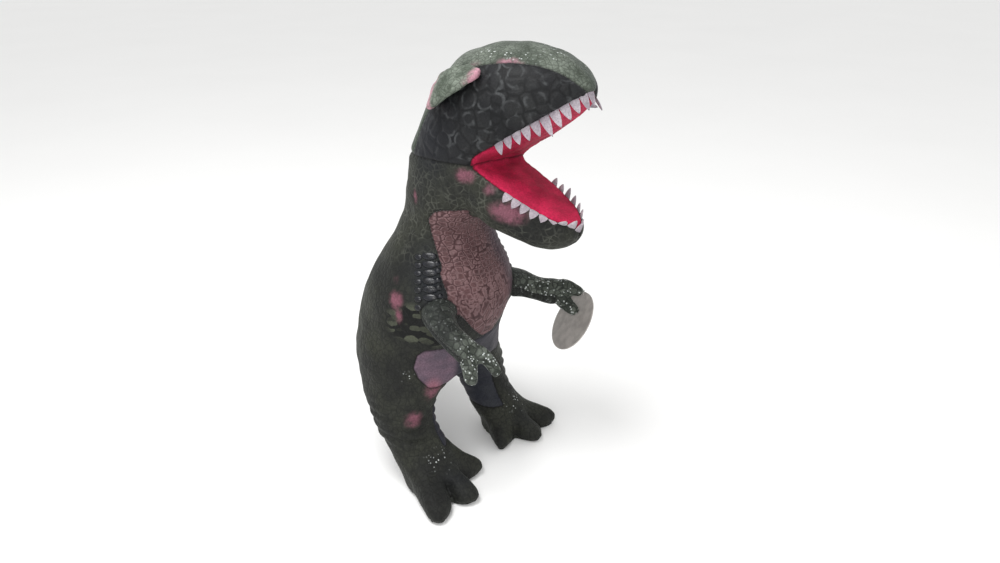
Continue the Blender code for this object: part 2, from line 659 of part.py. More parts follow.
def centre_on_floor(origin):
    """Move the whole toy so that its box is centred over the origin and stands on z = 0."""
    bpy.context.view_layer.update()
    corners = []
    for body in bpy.data.objects:
        if body.type == "MESH":
            corners += [body.matrix_world @ vertex.co for vertex in body.data.vertices]
    corners = np.array([corner[:] for corner in corners])
    middle = (corners.min(axis=0) + corners.max(axis=0)) / 2
    origin.location = (-middle[0], -middle[1], -corners[:, 2].min())
    bpy.context.view_layer.update()


# ---------------------------------------------------------------- the whole toy
for leftover in list(bpy.data.objects):
    bpy.data.objects.remove(leftover, do_unlink=True)

FIBRE = make_material("polyester_fibre", (0.80, 0.79, 0.76), 0.95)
SCALE_CLOTH = make_material("scale_print_velboa", (0.055, 0.062, 0.052), 0.55)
DARK_CLOTH = make_material("dark_scale_velboa", (0.028, 0.028, 0.033), 0.50)
CROWN_CLOTH = make_material("crown_velboa", (0.115, 0.135, 0.112), 0.42)
JAW_CLOTH = make_material("jaw_velboa", (0.070, 0.068, 0.062), 0.52)
ARM_CLOTH = make_material("arm_velboa", (0.100, 0.118, 0.105), 0.45)
BELLY_CLOTH = make_material("belly_velboa", (0.115, 0.058, 0.062), 0.55)
THIGH_CLOTH = make_material("inner_thigh_velboa", (0.105, 0.075, 0.100), 0.60)
SOLE_CLOTH = make_material("sole_velboa", (0.045, 0.048, 0.044), 0.80)
MOUTH_VELOUR = make_material("mouth_velour", (0.290, 0.020, 0.045), 0.75)
FELT_WHITE = make_material("tooth_felt", (0.420, 0.370, 0.420), 0.90)
TAG_CARD = make_material("tag_card", (0.330, 0.300, 0.290), 0.60)
NYLON = make_material("clear_nylon", (0.700, 0.700, 0.690), 0.30)

TAG_UPHILL = unit(np.array([0.0, 0.0, 1.0]) - unit(TAG_NORMAL) * unit(TAG_NORMAL)[2])
TAG_HOLE = np.array(TAG_CENTRE) + TAG_UPHILL * TAG_HOLE_REACH

BODY = make_pivot("toy_origin", (0.0, 0.0, 0.0))
HEAD = make_pivot("neck_pivot", (0.0, TRUNK_RINGS[-1][1], NECK_Z), BODY)
JAW = make_pivot("jaw_pivot", tilt((0.0, *MOUTH_FOLD)), HEAD)
RIGHT_ARM = make_pivot("right_shoulder_pivot", ARM_PATHS["right"][0], BODY)
LEFT_ARM = make_pivot("left_shoulder_pivot", ARM_PATHS["left"][0], BODY)
TAIL = make_pivot("tail_pivot", TAIL_RINGS[0][:3], BODY)
TAG = make_pivot("tag_pivot", TAG_HOLE, LEFT_ARM)

build_trunk()
for part_side, part_name in ((-1, "right"), (1, "left")):
    build_leg(part_side, part_name)
    build_foot(part_side, part_name)
build_tail()
head_skin = build_head()
jaw_skin = build_jaw()
for part_side, part_name in ((-1, "right"), (1, "left")):
    build_brow(head_skin, part_side, part_name)
    build_teeth(part_name + "_upper_teeth", head_skin, part_side, -part_side, UPPER_TOOTH_ROWS,
                UPPER_TEETH, UPPER_SPLAY)
    build_teeth(part_name + "_lower_teeth", jaw_skin, part_side, part_side, LOWER_TOOTH_ROWS,
                LOWER_TEETH, LOWER_SPLAY)
build_arm("right", -1, RIGHT_ARM)
build_arm("left", 1, LEFT_ARM)
build_tag()
build_fastener()
centre_on_floor(BODY)
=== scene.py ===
"""The looks of a stuffed dinosaur: sewn and stuffed skins, felt teeth, a swing tag, camera and light."""
import json
import math

import bmesh
import bpy
import numpy as np
from mathutils import Matrix, Vector, noise
from mathutils.bvhtree import BVHTree


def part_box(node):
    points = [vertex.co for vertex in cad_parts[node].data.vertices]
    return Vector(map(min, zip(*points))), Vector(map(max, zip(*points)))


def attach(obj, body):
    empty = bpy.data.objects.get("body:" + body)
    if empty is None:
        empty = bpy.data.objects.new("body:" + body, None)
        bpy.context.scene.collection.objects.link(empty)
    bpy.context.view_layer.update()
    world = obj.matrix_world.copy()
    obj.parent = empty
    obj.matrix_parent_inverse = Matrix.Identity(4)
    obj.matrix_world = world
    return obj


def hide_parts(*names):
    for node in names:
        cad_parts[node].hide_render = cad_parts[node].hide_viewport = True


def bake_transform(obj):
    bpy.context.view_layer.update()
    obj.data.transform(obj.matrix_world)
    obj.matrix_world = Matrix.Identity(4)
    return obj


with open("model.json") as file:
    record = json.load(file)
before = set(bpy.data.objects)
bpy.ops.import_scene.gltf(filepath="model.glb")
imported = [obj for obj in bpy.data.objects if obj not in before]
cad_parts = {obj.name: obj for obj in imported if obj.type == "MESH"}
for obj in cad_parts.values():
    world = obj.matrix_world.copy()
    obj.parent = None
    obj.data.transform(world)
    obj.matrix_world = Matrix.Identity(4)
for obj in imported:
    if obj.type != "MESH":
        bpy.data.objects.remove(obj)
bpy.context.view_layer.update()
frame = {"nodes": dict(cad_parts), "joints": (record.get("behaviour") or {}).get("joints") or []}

# ---------------------------------------------------------------- places and sizes, in metres
JOINTS = {joint["name"]: joint for joint in frame["joints"]}
NECK = np.array(JOINTS["neck_turn"]["pos_m"])
NECK_FROM_HOME = np.array([0.0, 0.078, 0.306])
HOME = NECK - NECK_FROM_HOME           # the point on the floor that the toy's places are given from
SIDES = (("right", -1), ("left", 1))

VOXEL = 0.0032           # mesh size of the skins before they are subdivided
FLAP_VOXEL = 0.0015
SAME_PLACE = 1e-6        # corners closer than this are one
TINY = 1e-9              # keeps a division away from zero
SHRINK = 0.0012          # the skins start this much smaller, and the filling puffs them out
HAND_FULLNESS = 0.0022   # how much fatter the stuffed fingers are
PUFF_LIMIT = 0.0045      # the most that the filling may move the fabric
FILL_PRESSURE = 4.0
FILL_FRAMES = 20

RELAX_ROUNDS = 14
RELAX_SHARE = 0.5
KEEP_FORM = 0.72               # how much of the smoothing the feet and hands are spared
FEET_UP_TO = (0.045, 0.075)
HAND_STARTS = (0.02, 0.05)     # distance out from the shoulder
HAND_BELOW = (-0.26, -0.24)    # heights, turned over

SEAM_DEPTH = 0.0013            # how deep a sewn seam lies in the pile
SEAM_CREASE = 0.7
SEAM_HOLDS = (0.002, 0.006)    # the thread holds the fabric this near, and then lets go
SOLE_HOLDS = (0.003, 0.012)    # heights over which the flat sole lets go
FLOOR_GAP = 0.0002
STITCH_EVERY = 0.0045
STITCH_SIZE = (0.0004, 0.0016, 0.0003)
STITCH_LIFT = 0.0001

LUMPS = ((0.0014, 0.030, 0.0), (0.0007, 0.013, 3.0))    # height, breadth and seed
FOLD_DEPTH = 0.0026
FOLD_EVERY = 0.0115
FOLD_STARTS = (0.046, 0.060)
FOLD_ENDS = (0.085, 0.125)

FOOT_CENTRE = (0.0690, 0.048)
FOOT_REACH = 0.075
TOES_START = (0.022, 0.042)            # distance out from the middle of the foot
TOES_END = (0.024, 0.048)              # height
TOES = (-4.0, -63.0, 48.0)             # degrees from straight ahead, outwards
TOE_WIDTH = 11.0
TOE_BULGE = 0.0045
TOE_NOTCHES = ((-33.0, 8.0), (25.0, 7.0))
NOTCH_DEPTH = 0.0110
NOTCH_DROP = 0.35

# A panel's outline is its half angle at each height, seen from its centre.
THIGH_CENTRE = 0.090
THIGH_RADIUS = 0.070
THIGH_EDGE = ((0.118, 60.0), (0.135, 70.0), (0.150, 74.0), (0.165, 71.0), (0.176, 60.0))
THIGH_TOP = 0.171
THIGH_RANGE = (0.122, 0.182)
BELLY_RADIUS = 0.050
BELLY_EDGE = ((0.262, 55.0), (0.280, 63.0), (0.300, 72.0), (0.320, 78.0))
BELLY_TOP = 0.327
BELLY_ROUNDING = 0.016
BELLY_BACK = 0.085

FLAP_DROP = np.array([0.0, -0.002, -0.006])      # the free edge hangs with its own weight
FLAP_FULLNESS = 0.0006
FLAP_DENTS = ((0.0012, 0.011, 5.0), (0.0005, 0.005, 8.0))

FOIL_TOP = 0.277
FOIL_STEP = 0.0082
FOIL_ROWS = 7
FOIL_RISE = 0.0020
FOIL_SUNK = 0.0006
FOIL_LEAN = 0.22
# How far forward each column lies, half the breadth and height of its scales, and its stagger.
FOIL_COLUMNS = ((0.0, 0.0082, 0.0043, 0.0), (-0.0135, 0.0046, 0.0036, 0.5),
                (0.0120, 0.0034, 0.0032, 0.5))

TOOTH_THICK = 0.0012
TOOTH_SUNK = 0.0015            # how far a tooth's root lies in the lip
TOOTH_OUT = 0.0012

VIEW_AZIMUTH = math.radians(54.1)      # the camera stands on the toy's right front
VIEW_DISTANCE = 0.738
VIEW_HEIGHT = 0.592
LENS = 28.5
FLOOR_SIZE = 25.0
WORLD_LIGHT = 0.85

# Each panel label, the CAD nodes that show where it lies, and the finish that it gets.
PANELS = {
    "right_side": (["right_flank_panel", "right_outer_leg_panel", "right_foot_upper",
                    "right_neck_panel"], "side"),
    "left_side": (["left_flank_panel", "left_outer_leg_panel", "left_foot_upper",
                   "left_neck_panel"], "side"),
    "belly": (["belly_panel"], "belly"),
    "inner_legs": (["front_gusset", "right_inner_leg_panel", "left_inner_leg_panel"], "thigh"),
    "right_sole": (["right_foot_sole"], "sole"),
    "left_sole": (["left_foot_sole"], "sole"),
    "crown": (["crown_panel"], "crown"),
    "right_cheek": (["right_head_panel"], "dark"),
    "left_cheek": (["left_head_panel"], "dark"),
    "palate": (["palate_lining"], "mouth"),
    "right_jaw": (["right_jaw_panel"], "side"),
    "left_jaw": (["left_jaw_panel"], "side"),
    "mouth_floor": (["mouth_floor_lining"], "mouth"),
    "right_arm_top": (["right_arm_upper_panel", "right_upper_finger", "right_lower_finger"], "arm"),
    "right_arm_under": (["right_arm_lower_panel"], "arm_under"),
    "left_arm_top": (["left_arm_upper_panel", "left_upper_finger", "left_lower_finger"], "arm"),
    "left_arm_under": (["left_arm_lower_panel"], "arm_under"),
    "right_tail": (["tail_right_panel"], "side"),
    "left_tail": (["tail_left_panel"], "side"),
    "tail_tip": (["tail_tip"], "side"),
}
LABELS = list(PANELS)

# The skins: the panels that each is sewn from, and the CAD nodes that it stands for.
SKINS = {
    "trunk_skin": ["right_side", "left_side", "belly", "inner_legs", "right_sole", "left_sole"],
    "head_skin": ["crown", "right_cheek", "left_cheek", "palate"],
    "jaw_skin": ["right_jaw", "left_jaw", "mouth_floor"],
    "right_arm_skin": ["right_arm_top", "right_arm_under"],
    "left_arm_skin": ["left_arm_top", "left_arm_under"],
    "tail_skin": ["right_tail", "left_tail", "tail_tip"],
}
STUFFING = {
    "trunk_skin": ["torso_stuffing"] + [side + part for side, _ in SIDES
                                        for part in ("_leg_stuffing", "_foot_stuffing")],
    "head_skin": ["head_stuffing"],
    "jaw_skin": ["jaw_stuffing"],
    "right_arm_skin": ["right_arm_stuffing"],
    "left_arm_skin": ["left_arm_stuffing"],
    "tail_skin": ["tail_stuffing"],
}
BLENDS = {skin: skin.removesuffix("_skin") for skin in SKINS}
UNSEWN = ({"right_side", "right_jaw"}, {"left_side", "left_jaw"},
          {"right_tail", "tail_tip"}, {"left_tail", "tail_tip"})     # joint cuts, not seams


def at(x, y, z):
    """A place given from the toy's home point."""
    return HOME + np.array([x, y, z])


def smooth_step(value, low=0.0, high=1.0):
    share = np.clip((value - low) / (high - low), 0.0, 1.0)
    return share * share * (3.0 - 2.0 * share)


def unit(vectors):
    length = np.linalg.norm(vectors, axis=-1, keepdims=True)
    return vectors / np.maximum(length, TINY)


# ---------------------------------------------------------------- meshes as arrays
def add_object(name, data):
    made = bpy.data.objects.new(name, data)
    bpy.context.scene.collection.objects.link(made)
    return made


def new_object(name, points, faces):
    mesh = bpy.data.meshes.new(name)
    mesh.from_pydata(np.asarray(points).tolist(), [], [list(face) for face in faces])
    mesh.update()
    return add_object(name, mesh)


def evaluated_mesh(thing):
    """The object's mesh with its modifiers applied, as a new plain mesh."""
    graph = bpy.context.evaluated_depsgraph_get()
    return bpy.data.meshes.new_from_object(thing.evaluated_get(graph))


def points_of(mesh):
    points = np.zeros(len(mesh.vertices) * 3)
    mesh.vertices.foreach_get("co", points)
    return points.reshape(-1, 3)


def set_points(mesh, points):
    mesh.vertices.foreach_set("co", points.ravel())
    mesh.update()


def store(mesh, name, values, where="POINT"):
    """Keeps one number for each point or edge, under a name that a material can read."""
    attribute = mesh.attributes.new(name, "FLOAT", where)
    attribute.data.foreach_set("value", np.asarray(values, np.float32))


def normals_of(mesh):
    normals = np.zeros(len(mesh.vertices) * 3)
    mesh.vertices.foreach_get("normal", normals)
    return normals.reshape(-1, 3)


def edges_of(mesh):
    edges = np.zeros(len(mesh.edges) * 2, int)
    mesh.edges.foreach_get("vertices", edges)
    return edges.reshape(-1, 2)


def relax(points, edges, rounds, share):
    """Move each point towards the middle of its neighbours, by its own share."""
    count = np.bincount(edges.ravel(), minlength=len(points))[:, None]
    for _ in range(rounds):
        total = np.zeros_like(points)
        np.add.at(total, edges[:, 0], points[edges[:, 1]])
        np.add.at(total, edges[:, 1], points[edges[:, 0]])
        points = points + (total / count - points) * share
    return points


def union_form(name, nodes, moved=(), voxel=VOXEL):
    """One closed mesh round CAD nodes, and round copies of some that are moved into a gap."""
    whole = bmesh.new()
    for node, step in [(node, (0.0, 0.0, 0.0)) for node in nodes] + list(moved):
        piece = bmesh.new()
        piece.from_mesh(frame["nodes"][node].data)
        bmesh.ops.remove_doubles(piece, verts=piece.verts, dist=SAME_PLACE)
        bmesh.ops.translate(piece, verts=piece.verts, vec=Vector(step))
        mesh = bpy.data.meshes.new(name)
        piece.to_mesh(mesh)
        piece.free()
        whole.from_mesh(mesh)
        bpy.data.meshes.remove(mesh)
    mesh = bpy.data.meshes.new(name)
    whole.to_mesh(mesh)
    whole.free()
    form = add_object(name, mesh)
    remesh = form.modifiers.new("union", "REMESH")
    remesh.mode = "VOXEL"
    remesh.voxel_size = voxel
    result = evaluated_mesh(form)
    bpy.data.objects.remove(form)
    return result


# ---------------------------------------------------------------- panels and seams
def node_tree(nodes):
    """A search tree over the faces of some CAD nodes."""
    points = []
    faces = []
    for node in nodes:
        mesh = frame["nodes"][node].data
        start = len(points)
        points += [vertex.co[:] for vertex in mesh.vertices]
        faces += [[start + index for index in face.vertices] for face in mesh.polygons]
    return BVHTree.FromPolygons(points, faces)


PANEL_TREES = [node_tree(PANELS[label][0]) for label in LABELS]


def panel_distances(points):
    """The distance from each point to each panel."""
    return np.array([[tree.find_nearest(point)[3] for tree in PANEL_TREES] for point in points])


def is_sewn(one, other):
    """Whether two panels meet in a seam that shows; the cut at the jaw's joint doesn't."""
    return {LABELS[one], LABELS[other]} not in UNSEWN


def settle_on_seams(points, faces, edges, distances):
    """Moves points onto the lines where two panels meet; gives points, faces and their labels."""
    nearest = distances.argmin(axis=1)
    first, second = edges[:, 0], edges[:, 1]
    crossing = np.nonzero(nearest[first] != nearest[second])[0]
    plans = []
    for edge in crossing:
        one, other = edges[edge]
        here, there = nearest[one], nearest[other]
        gap_one = distances[one, there] - distances[one, here]
        gap_other = distances[other, here] - distances[other, there]
        share = gap_one / max(gap_one + gap_other, TINY)
        plans.append((min(share, 1.0 - share), one, other, share))
    on_seam = np.zeros(len(points), bool)
    moved = points.copy()
    for _, one, other, share in sorted(plans):
        if on_seam[one] or on_seam[other]:
            continue
        mover = one if share < 0.5 else other
        moved[mover] = points[one] + (points[other] - points[one]) * share
        on_seam[mover] = True
    cut_faces = []
    face_labels = []
    for face in faces:
        inside = [nearest[corner] for corner in face if not on_seam[corner]]
        if len(face) == 4 and len(set(inside)) > 1:
            turn = 1 if on_seam[face[1]] and on_seam[face[3]] else 0
            turned = face[turn:] + face[:turn]
            parts = [[turned[0], turned[1], turned[2]], [turned[0], turned[2], turned[3]]]
        else:
            parts = [face]
        for part in parts:
            names = [nearest[corner] for corner in part if not on_seam[corner]]
            if not names:
                names = [distances[part].sum(axis=0).argmin()]
            cut_faces.append(part)
            face_labels.append(max(set(names), key=names.count))
    return moved, cut_faces, np.array(face_labels), on_seam


def fill_with_fibre(form, pinned):
    """Lets the filling press the fabric out between its seams; gives the new points."""
    start = points_of(form.data)
    group = form.vertex_groups.new(name="sewn")
    for index in np.nonzero(pinned > 0.02)[0]:
        group.add([int(index)], float(pinned[index]), "REPLACE")
    cloth = form.modifiers.new("filling", "CLOTH")
    settings = cloth.settings
    settings.quality = 4
    settings.mass = 0.25
    settings.tension_stiffness = 12.0
    settings.compression_stiffness = 12.0
    settings.shear_stiffness = 4.0
    settings.bending_stiffness = 0.4
    settings.use_pressure = True
    settings.uniform_pressure_force = FILL_PRESSURE
    settings.vertex_group_mass = "sewn"
    settings.effector_weights.gravity = 0.0
    cloth.collision_settings.use_collision = False
    cloth.point_cache.frame_start = 1
    cloth.point_cache.frame_end = FILL_FRAMES
    for step in range(1, FILL_FRAMES + 1):
        bpy.context.scene.frame_set(step)
    settled = points_of(evaluated_mesh(form))
    form.modifiers.remove(cloth)
    bpy.context.scene.frame_set(1)
    step = settled - start
    length = np.linalg.norm(step, axis=1, keepdims=True)
    return start + step * np.minimum(1.0, PUFF_LIMIT / np.maximum(length, TINY))


def noise_at(points, size, seed=0.0):
    """Smooth noise from -1 to 1 at each point, with lumps of that size."""
    shift = Vector((seed, seed * 1.7, -seed))
    return np.array([noise.noise(Vector(point) / size + shift) for point in points])


def lumps_at(points, lumps):
    """Soft lumps of several breadths, each with its height, breadth and seed."""
    return sum(height * noise_at(points, breadth, seed) for height, breadth, seed in lumps)


# ---------------------------------------------------------------- the body form
def make_form():
    """The whole toy as one smooth closed form, before it is divided into skins."""
    nodes = []
    for skin, labels in SKINS.items():
        nodes += STUFFING[skin]
        for label in labels:
            nodes += PANELS[label][0]
    inwards = {name: -np.array(JOINTS[name]["axis"]) for name in ("right_arm_swing", "left_arm_swing")}
    tail_low, tail_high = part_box("tail_stuffing")
    tail_step = NECK - np.array((tail_low + tail_high) / 2)
    tail_step[2] = 0.0
    moved = [("head_stuffing", (0.0, 0.0, -0.006)),
             ("jaw_stuffing", (0.0, 0.006, 0.001)),
             ("right_arm_stuffing", inwards["right_arm_swing"] * 0.010),
             ("left_arm_stuffing", inwards["left_arm_swing"] * 0.010),
             ("tail_stuffing", unit(tail_step) * 0.014)]
    return union_form("form", nodes, moved)


form_mesh = make_form()
points = points_of(form_mesh)
edges = edges_of(form_mesh)
height = points[:, 2] - HOME[2]
foot_share = 1.0 - smooth_step(height, *FEET_UP_TO)
thin = np.zeros(len(points))
for arm in ("right_arm_swing", "left_arm_swing"):
    joint = JOINTS[arm]
    reach = (points - np.array(joint["pos_m"])) @ np.array(joint["axis"])
    near_hand = smooth_step(reach, *HAND_STARTS) * smooth_step(-height, *HAND_BELOW)
    thin = np.maximum(thin, near_hand)
share = RELAX_SHARE * (1.0 - KEEP_FORM * np.maximum(foot_share, thin))[:, None]
points = relax(points, edges, RELAX_ROUNDS, share)


def part_toes(local):
    """Draws the feet in between the toes; the toes bulge a little."""
    moved = local.copy()
    for _, side in SIDES:
        away = local[:, :2] - (side * FOOT_CENTRE[0], FOOT_CENTRE[1])
        reach = np.hypot(away[:, 0], away[:, 1])
        angle = np.degrees(np.arctan2(side * away[:, 0], -away[:, 1]))
        notch = np.zeros(len(local))
        for place, width in TOE_NOTCHES:
            notch = np.maximum(notch, np.exp(-((angle - place) / width) ** 2))
        toes = np.zeros(len(local))
        for place in TOES:
            toes = np.maximum(toes, np.exp(-((angle - place) / TOE_WIDTH) ** 2))
        here = (reach < FOOT_REACH) * (1.0 - smooth_step(local[:, 2], *TOES_END))
        here = here * smooth_step(reach, *TOES_START)
        change = here * (TOE_BULGE * toes - NOTCH_DEPTH * notch)
        moved[:, :2] += away / np.maximum(reach, TINY)[:, None] * change[:, None]
        moved[:, 2] -= here * notch * NOTCH_DROP * local[:, 2]
    return moved


def half_angle(local, centre):
    """Degrees from straight ahead, seen from the body's middle, on either side."""
    return np.degrees(np.arctan2(np.abs(local[:, 0]), -(local[:, 1] - centre)))


def claim(distances, local, panel, outside, here):
    """Gives a panel the places inside its outline, and the side panels the rest."""
    wanted, right, left = (LABELS.index(name) for name in (panel, "right_side", "left_side"))
    side = np.where(local[:, 0] < 0, right, left)
    nearest = distances.argmin(axis=1)
    rows = np.nonzero(here & np.isin(nearest, (wanted, right, left)))[0]
    distances[rows, wanted] = np.maximum(outside[rows], 0.0)
    distances[rows, side[rows]] = np.maximum(-outside[rows], 0.0)
    return distances


def raise_belly(distances, local):
    """Carries the belly panel's rounded upper corners past the neck seam, onto the throat."""
    height = local[:, 2]
    angle = half_angle(local, NECK_FROM_HOME[1])
    edge = np.interp(height, *zip(*BELLY_EDGE))
    top = BELLY_TOP - BELLY_ROUNDING * np.clip(angle / edge, 0.0, 1.0) ** 6
    outside = np.maximum((angle - edge) * math.radians(BELLY_RADIUS), height - top)
    here = (height > BELLY_EDGE[0][0]) & (local[:, 1] < BELLY_BACK)
    return claim(distances, local, "belly", outside, here)


def widen_thigh(distances, local):
    """Carries the smooth thigh panel round to the front of the leg."""
    height = local[:, 2]
    edge = np.interp(height, *zip(*THIGH_EDGE))
    beside = (half_angle(local, THIGH_CENTRE) - edge) * math.radians(THIGH_RADIUS)
    outside = np.maximum(beside, height - THIGH_TOP)
    low, high = THIGH_RANGE
    here = (height > low) & (height < high) & (local[:, 1] < THIGH_CENTRE)
    return claim(distances, local, "inner_legs", outside, here)


points = part_toes(points - HOME) + HOME
distances = raise_belly(panel_distances(points), points - HOME)
distances = widen_thigh(distances, points - HOME)
ranked = np.sort(distances, axis=1)
order = np.argsort(distances, axis=1)
seam_reach = np.sqrt(np.maximum(ranked[:, 1] ** 2 - ranked[:, 0] ** 2, 0.0))
sewn_here = np.array([is_sewn(one, other) for one, other in order[:, :2]])
pinned = np.where(sewn_here, 1.0 - smooth_step(seam_reach, *SEAM_HOLDS), 0.0)
pinned = np.maximum(pinned, 1.0 - smooth_step(points[:, 2] - HOME[2], *SOLE_HOLDS))

set_points(form_mesh, points)
normals = normals_of(form_mesh)
points = points - normals * (SHRINK - HAND_FULLNESS * thin)[:, None]
set_points(form_mesh, points)
form = add_object("form", form_mesh)
points = fill_with_fibre(form, pinned)

# Loose filling gives soft lumps, and the fabric folds where the legs bend over the feet.
soft = (1.0 - pinned)
lumps = lumps_at(points, LUMPS)
local = points - HOME
fold_band = smooth_step(local[:, 2], *FOLD_STARTS) * (1.0 - smooth_step(local[:, 2], *FOLD_ENDS))
fold_line = local[:, 2] + 0.25 * local[:, 0] + 0.006 * noise_at(points, 0.040, 7.0)
fold = np.clip(np.sin(fold_line / FOLD_EVERY * 2 * math.pi), -1.0, 0.35)
folds = FOLD_DEPTH * fold * fold_band * np.clip(0.55 + 1.1 * noise_at(points, 0.025, 9.0), 0.0, 1.0)
points = points + normals * (soft * (lumps + folds))[:, None]
points[:, 2] = np.maximum(points[:, 2], HOME[2] + FLOOR_GAP)

faces = [list(face.vertices) for face in form_mesh.polygons]
points, faces, face_labels, on_seam = settle_on_seams(points, faces, edges, distances)
bpy.data.objects.remove(form)

low = new_object("form", points, faces)
low.data.polygons.foreach_set("material_index", face_labels.astype(np.int32))
for label in LABELS:
    low.data.materials.append(None)
edge_faces = {}
for number, face in enumerate(faces):
    for one, other in zip(face, face[1:] + face[:1]):
        edge_faces.setdefault((min(one, other), max(one, other)), []).append(number)
low_edges = edges_of(low.data)
crease = np.zeros(len(low_edges), np.float32)
seam_points = np.zeros(len(points), bool)
for number, (one, other) in enumerate(low_edges):
    owners = edge_faces.get((min(one, other), max(one, other)), [])
    names = {face_labels[owner] for owner in owners}
    if len(names) == 2 and is_sewn(*names):
        crease[number] = SEAM_CREASE
        seam_points[[one, other]] = True
low_normals = normals_of(low.data)
points = points - low_normals * (seam_points * SEAM_DEPTH)[:, None]
set_points(low.data, points)
store(low.data, "crease_edge", crease, "EDGE")
store(low.data, "seam", seam_points)
finer = low.modifiers.new("finer", "SUBSURF")
finer.levels = 1
finer.render_levels = 1
whole = evaluated_mesh(low)
bpy.data.objects.remove(low)

whole_points = points_of(whole)
whole_normals = normals_of(whole)
whole_seam = np.zeros(len(whole.vertices), np.float32)
whole.attributes["seam"].data.foreach_get("value", whole_seam)
whole_labels = np.zeros(len(whole.polygons), np.int32)
whole.polygons.foreach_get("material_index", whole_labels)
whole_faces = np.zeros(len(whole.loops), np.int32)
whole.loops.foreach_get("vertex_index", whole_faces)
whole_faces = whole_faces.reshape(-1, 4)


# ---------------------------------------------------------------- painted zones of the print and of painted shade
def spots(local, places):
    """How far each point lies in soft spots; each place is mirrored to both sides."""
    total = np.zeros(len(local))
    side = np.abs(local[:, 0])
    for (x, y, z), (reach_x, reach_y, reach_z), strength in places:
        square = (((side - x) / reach_x) ** 2 + ((local[:, 1] - y) / reach_y) ** 2
                  + ((local[:, 2] - z) / reach_z) ** 2)
        total = np.maximum(total, strength * np.exp(-square))
    return total


PINK = (
    ((0.032, -0.022, 0.471), (0.012, 0.014, 0.007), 1.0),
    ((0.040, 0.016, 0.470), (0.012, 0.012, 0.008), 0.6),
    ((0.046, 0.017, 0.366), (0.014, 0.011, 0.008), 1.0),
    ((0.045, -0.010, 0.357), (0.014, 0.008, 0.007), 0.7),
    ((0.043, -0.030, 0.337), (0.018, 0.019, 0.011), 1.2),
    ((0.048, 0.081, 0.333), (0.014, 0.004, 0.009), 0.7),
    ((0.079, 0.090, 0.250), (0.014, 0.008, 0.010), 0.45),
    ((0.079, 0.086, 0.228), (0.014, 0.009, 0.010), 1.1),
    ((0.082, 0.081, 0.212), (0.014, 0.005, 0.011), 0.8),
    ((0.062, 0.054, 0.120), (0.014, 0.009, 0.016), 0.8),
    ((0.084, 0.065, 0.090), (0.014, 0.010, 0.010), 0.8),
)
# Where the pressed foil lies; finish_cloth paints its flakes pale as glints.
FOIL = (
    ((0.021, 0.010, 0.479), (0.006, 0.016, 0.006), 1.0),
    ((0.020, -0.025, 0.480), (0.006, 0.020, 0.006), 1.0),
    ((0.006, -0.055, 0.479), (0.006, 0.012, 0.006), 0.8),
    ((0.030, -0.066, 0.462), (0.008, 0.010, 0.010), 0.5),
    ((0.072, 0.038, 0.041), (0.012, 0.012, 0.008), 0.7),
    ((0.080, 0.075, 0.140), (0.014, 0.006, 0.004), 0.7),
)
# Blue-black zones of the print; the last spot, low behind the legs, is painted shade.
COOL = (
    ((0.062, 0.052, 0.256), (0.018, 0.024, 0.040), 1.2),
    ((0.054, 0.060, 0.395), (0.020, 0.030, 0.040), 1.0),
    ((0.070, 0.010, 0.035), (0.020, 0.020, 0.018), 0.6),
    ((0.050, 0.100, 0.080), (0.030, 0.020, 0.040), 0.4),
)
LEAF = (
    ((0.080, 0.055, 0.204), (0.026, 0.040, 0.022), 1.3),
    ((0.074, 0.030, 0.188), (0.026, 0.026, 0.018), 1.2),
)


def paint_zones(thing, local):
    """Stores the zones of the print, and of painted shade and glints, as attributes that the materials
    read.
    """
    height = local[:, 2]
    zones = {
        "pink": spots(local, PINK) * np.where((local[:, 0] > 0) & (height < 0.200), 0.0, 1.0),
        "foil": spots(local, FOIL),
        "cool": spots(local, COOL),
        "leaf": spots(local, LEAF),
        "net": smooth_step(height, 0.235, 0.285),
        # Painted shade on the belly's far side.
        "far_belly": smooth_step(local[:, 0] + 0.25 * (local[:, 2] - 0.250), 0.004, 0.030),
        # Where the inner legs keep their lit colour; the rest of them takes painted shade.
        "near_thigh": smooth_step(-local[:, 0], 0.030, 0.040) * smooth_step(height, 0.100, 0.125),
        # Painted shade on the crown's far half; the crown also darkens low at the back of the head.
        "far_crown": np.maximum(smooth_step(local[:, 0], 0.006, 0.016),
                                1.0 - smooth_step(height, 0.415, 0.445)),
        # The hand, with its glints; the arm behind it takes painted shade, which reaches less far on the
        # lit far arm.
        "hand": np.where(local[:, 0] < 0, smooth_step(-local[:, 1], -0.012, 0.016),
                         smooth_step(-local[:, 1], -0.035, -0.010)),
        "low": 1.0 - smooth_step(height, 0.180, 0.290),
    }
    for name, values in zones.items():
        store(thing.data, name, values)


# ---------------------------------------------------------------- materials
PILE_SPECULAR = 0.16     # pile traps most of the light that a smooth face would reflect


def linear(code):
    """A colour given as sRGB hex, in linear light."""
    parts = [int(code[start:start + 2], 16) / 255 for start in (0, 2, 4)]
    return (*[((part + 0.055) / 1.055) ** 2.4 if part > 0.04045 else part / 12.92
              for part in parts], 1.0)


def add(tree, kind, inputs=None, **settings):
    """Adds a node with its settings; an input is a value, a hex colour or the socket that feeds it."""
    made = tree.nodes.new(kind)
    for name, value in settings.items():
        setattr(made, name, value)
    for name, value in (inputs or {}).items():
        socket = made.inputs[name]
        if isinstance(value, bpy.types.NodeSocket):
            tree.links.new(value, socket)
        else:
            hex_colour = socket.type == "RGBA" and isinstance(value, str)
            socket.default_value = linear(value) if hex_colour else value
    return made


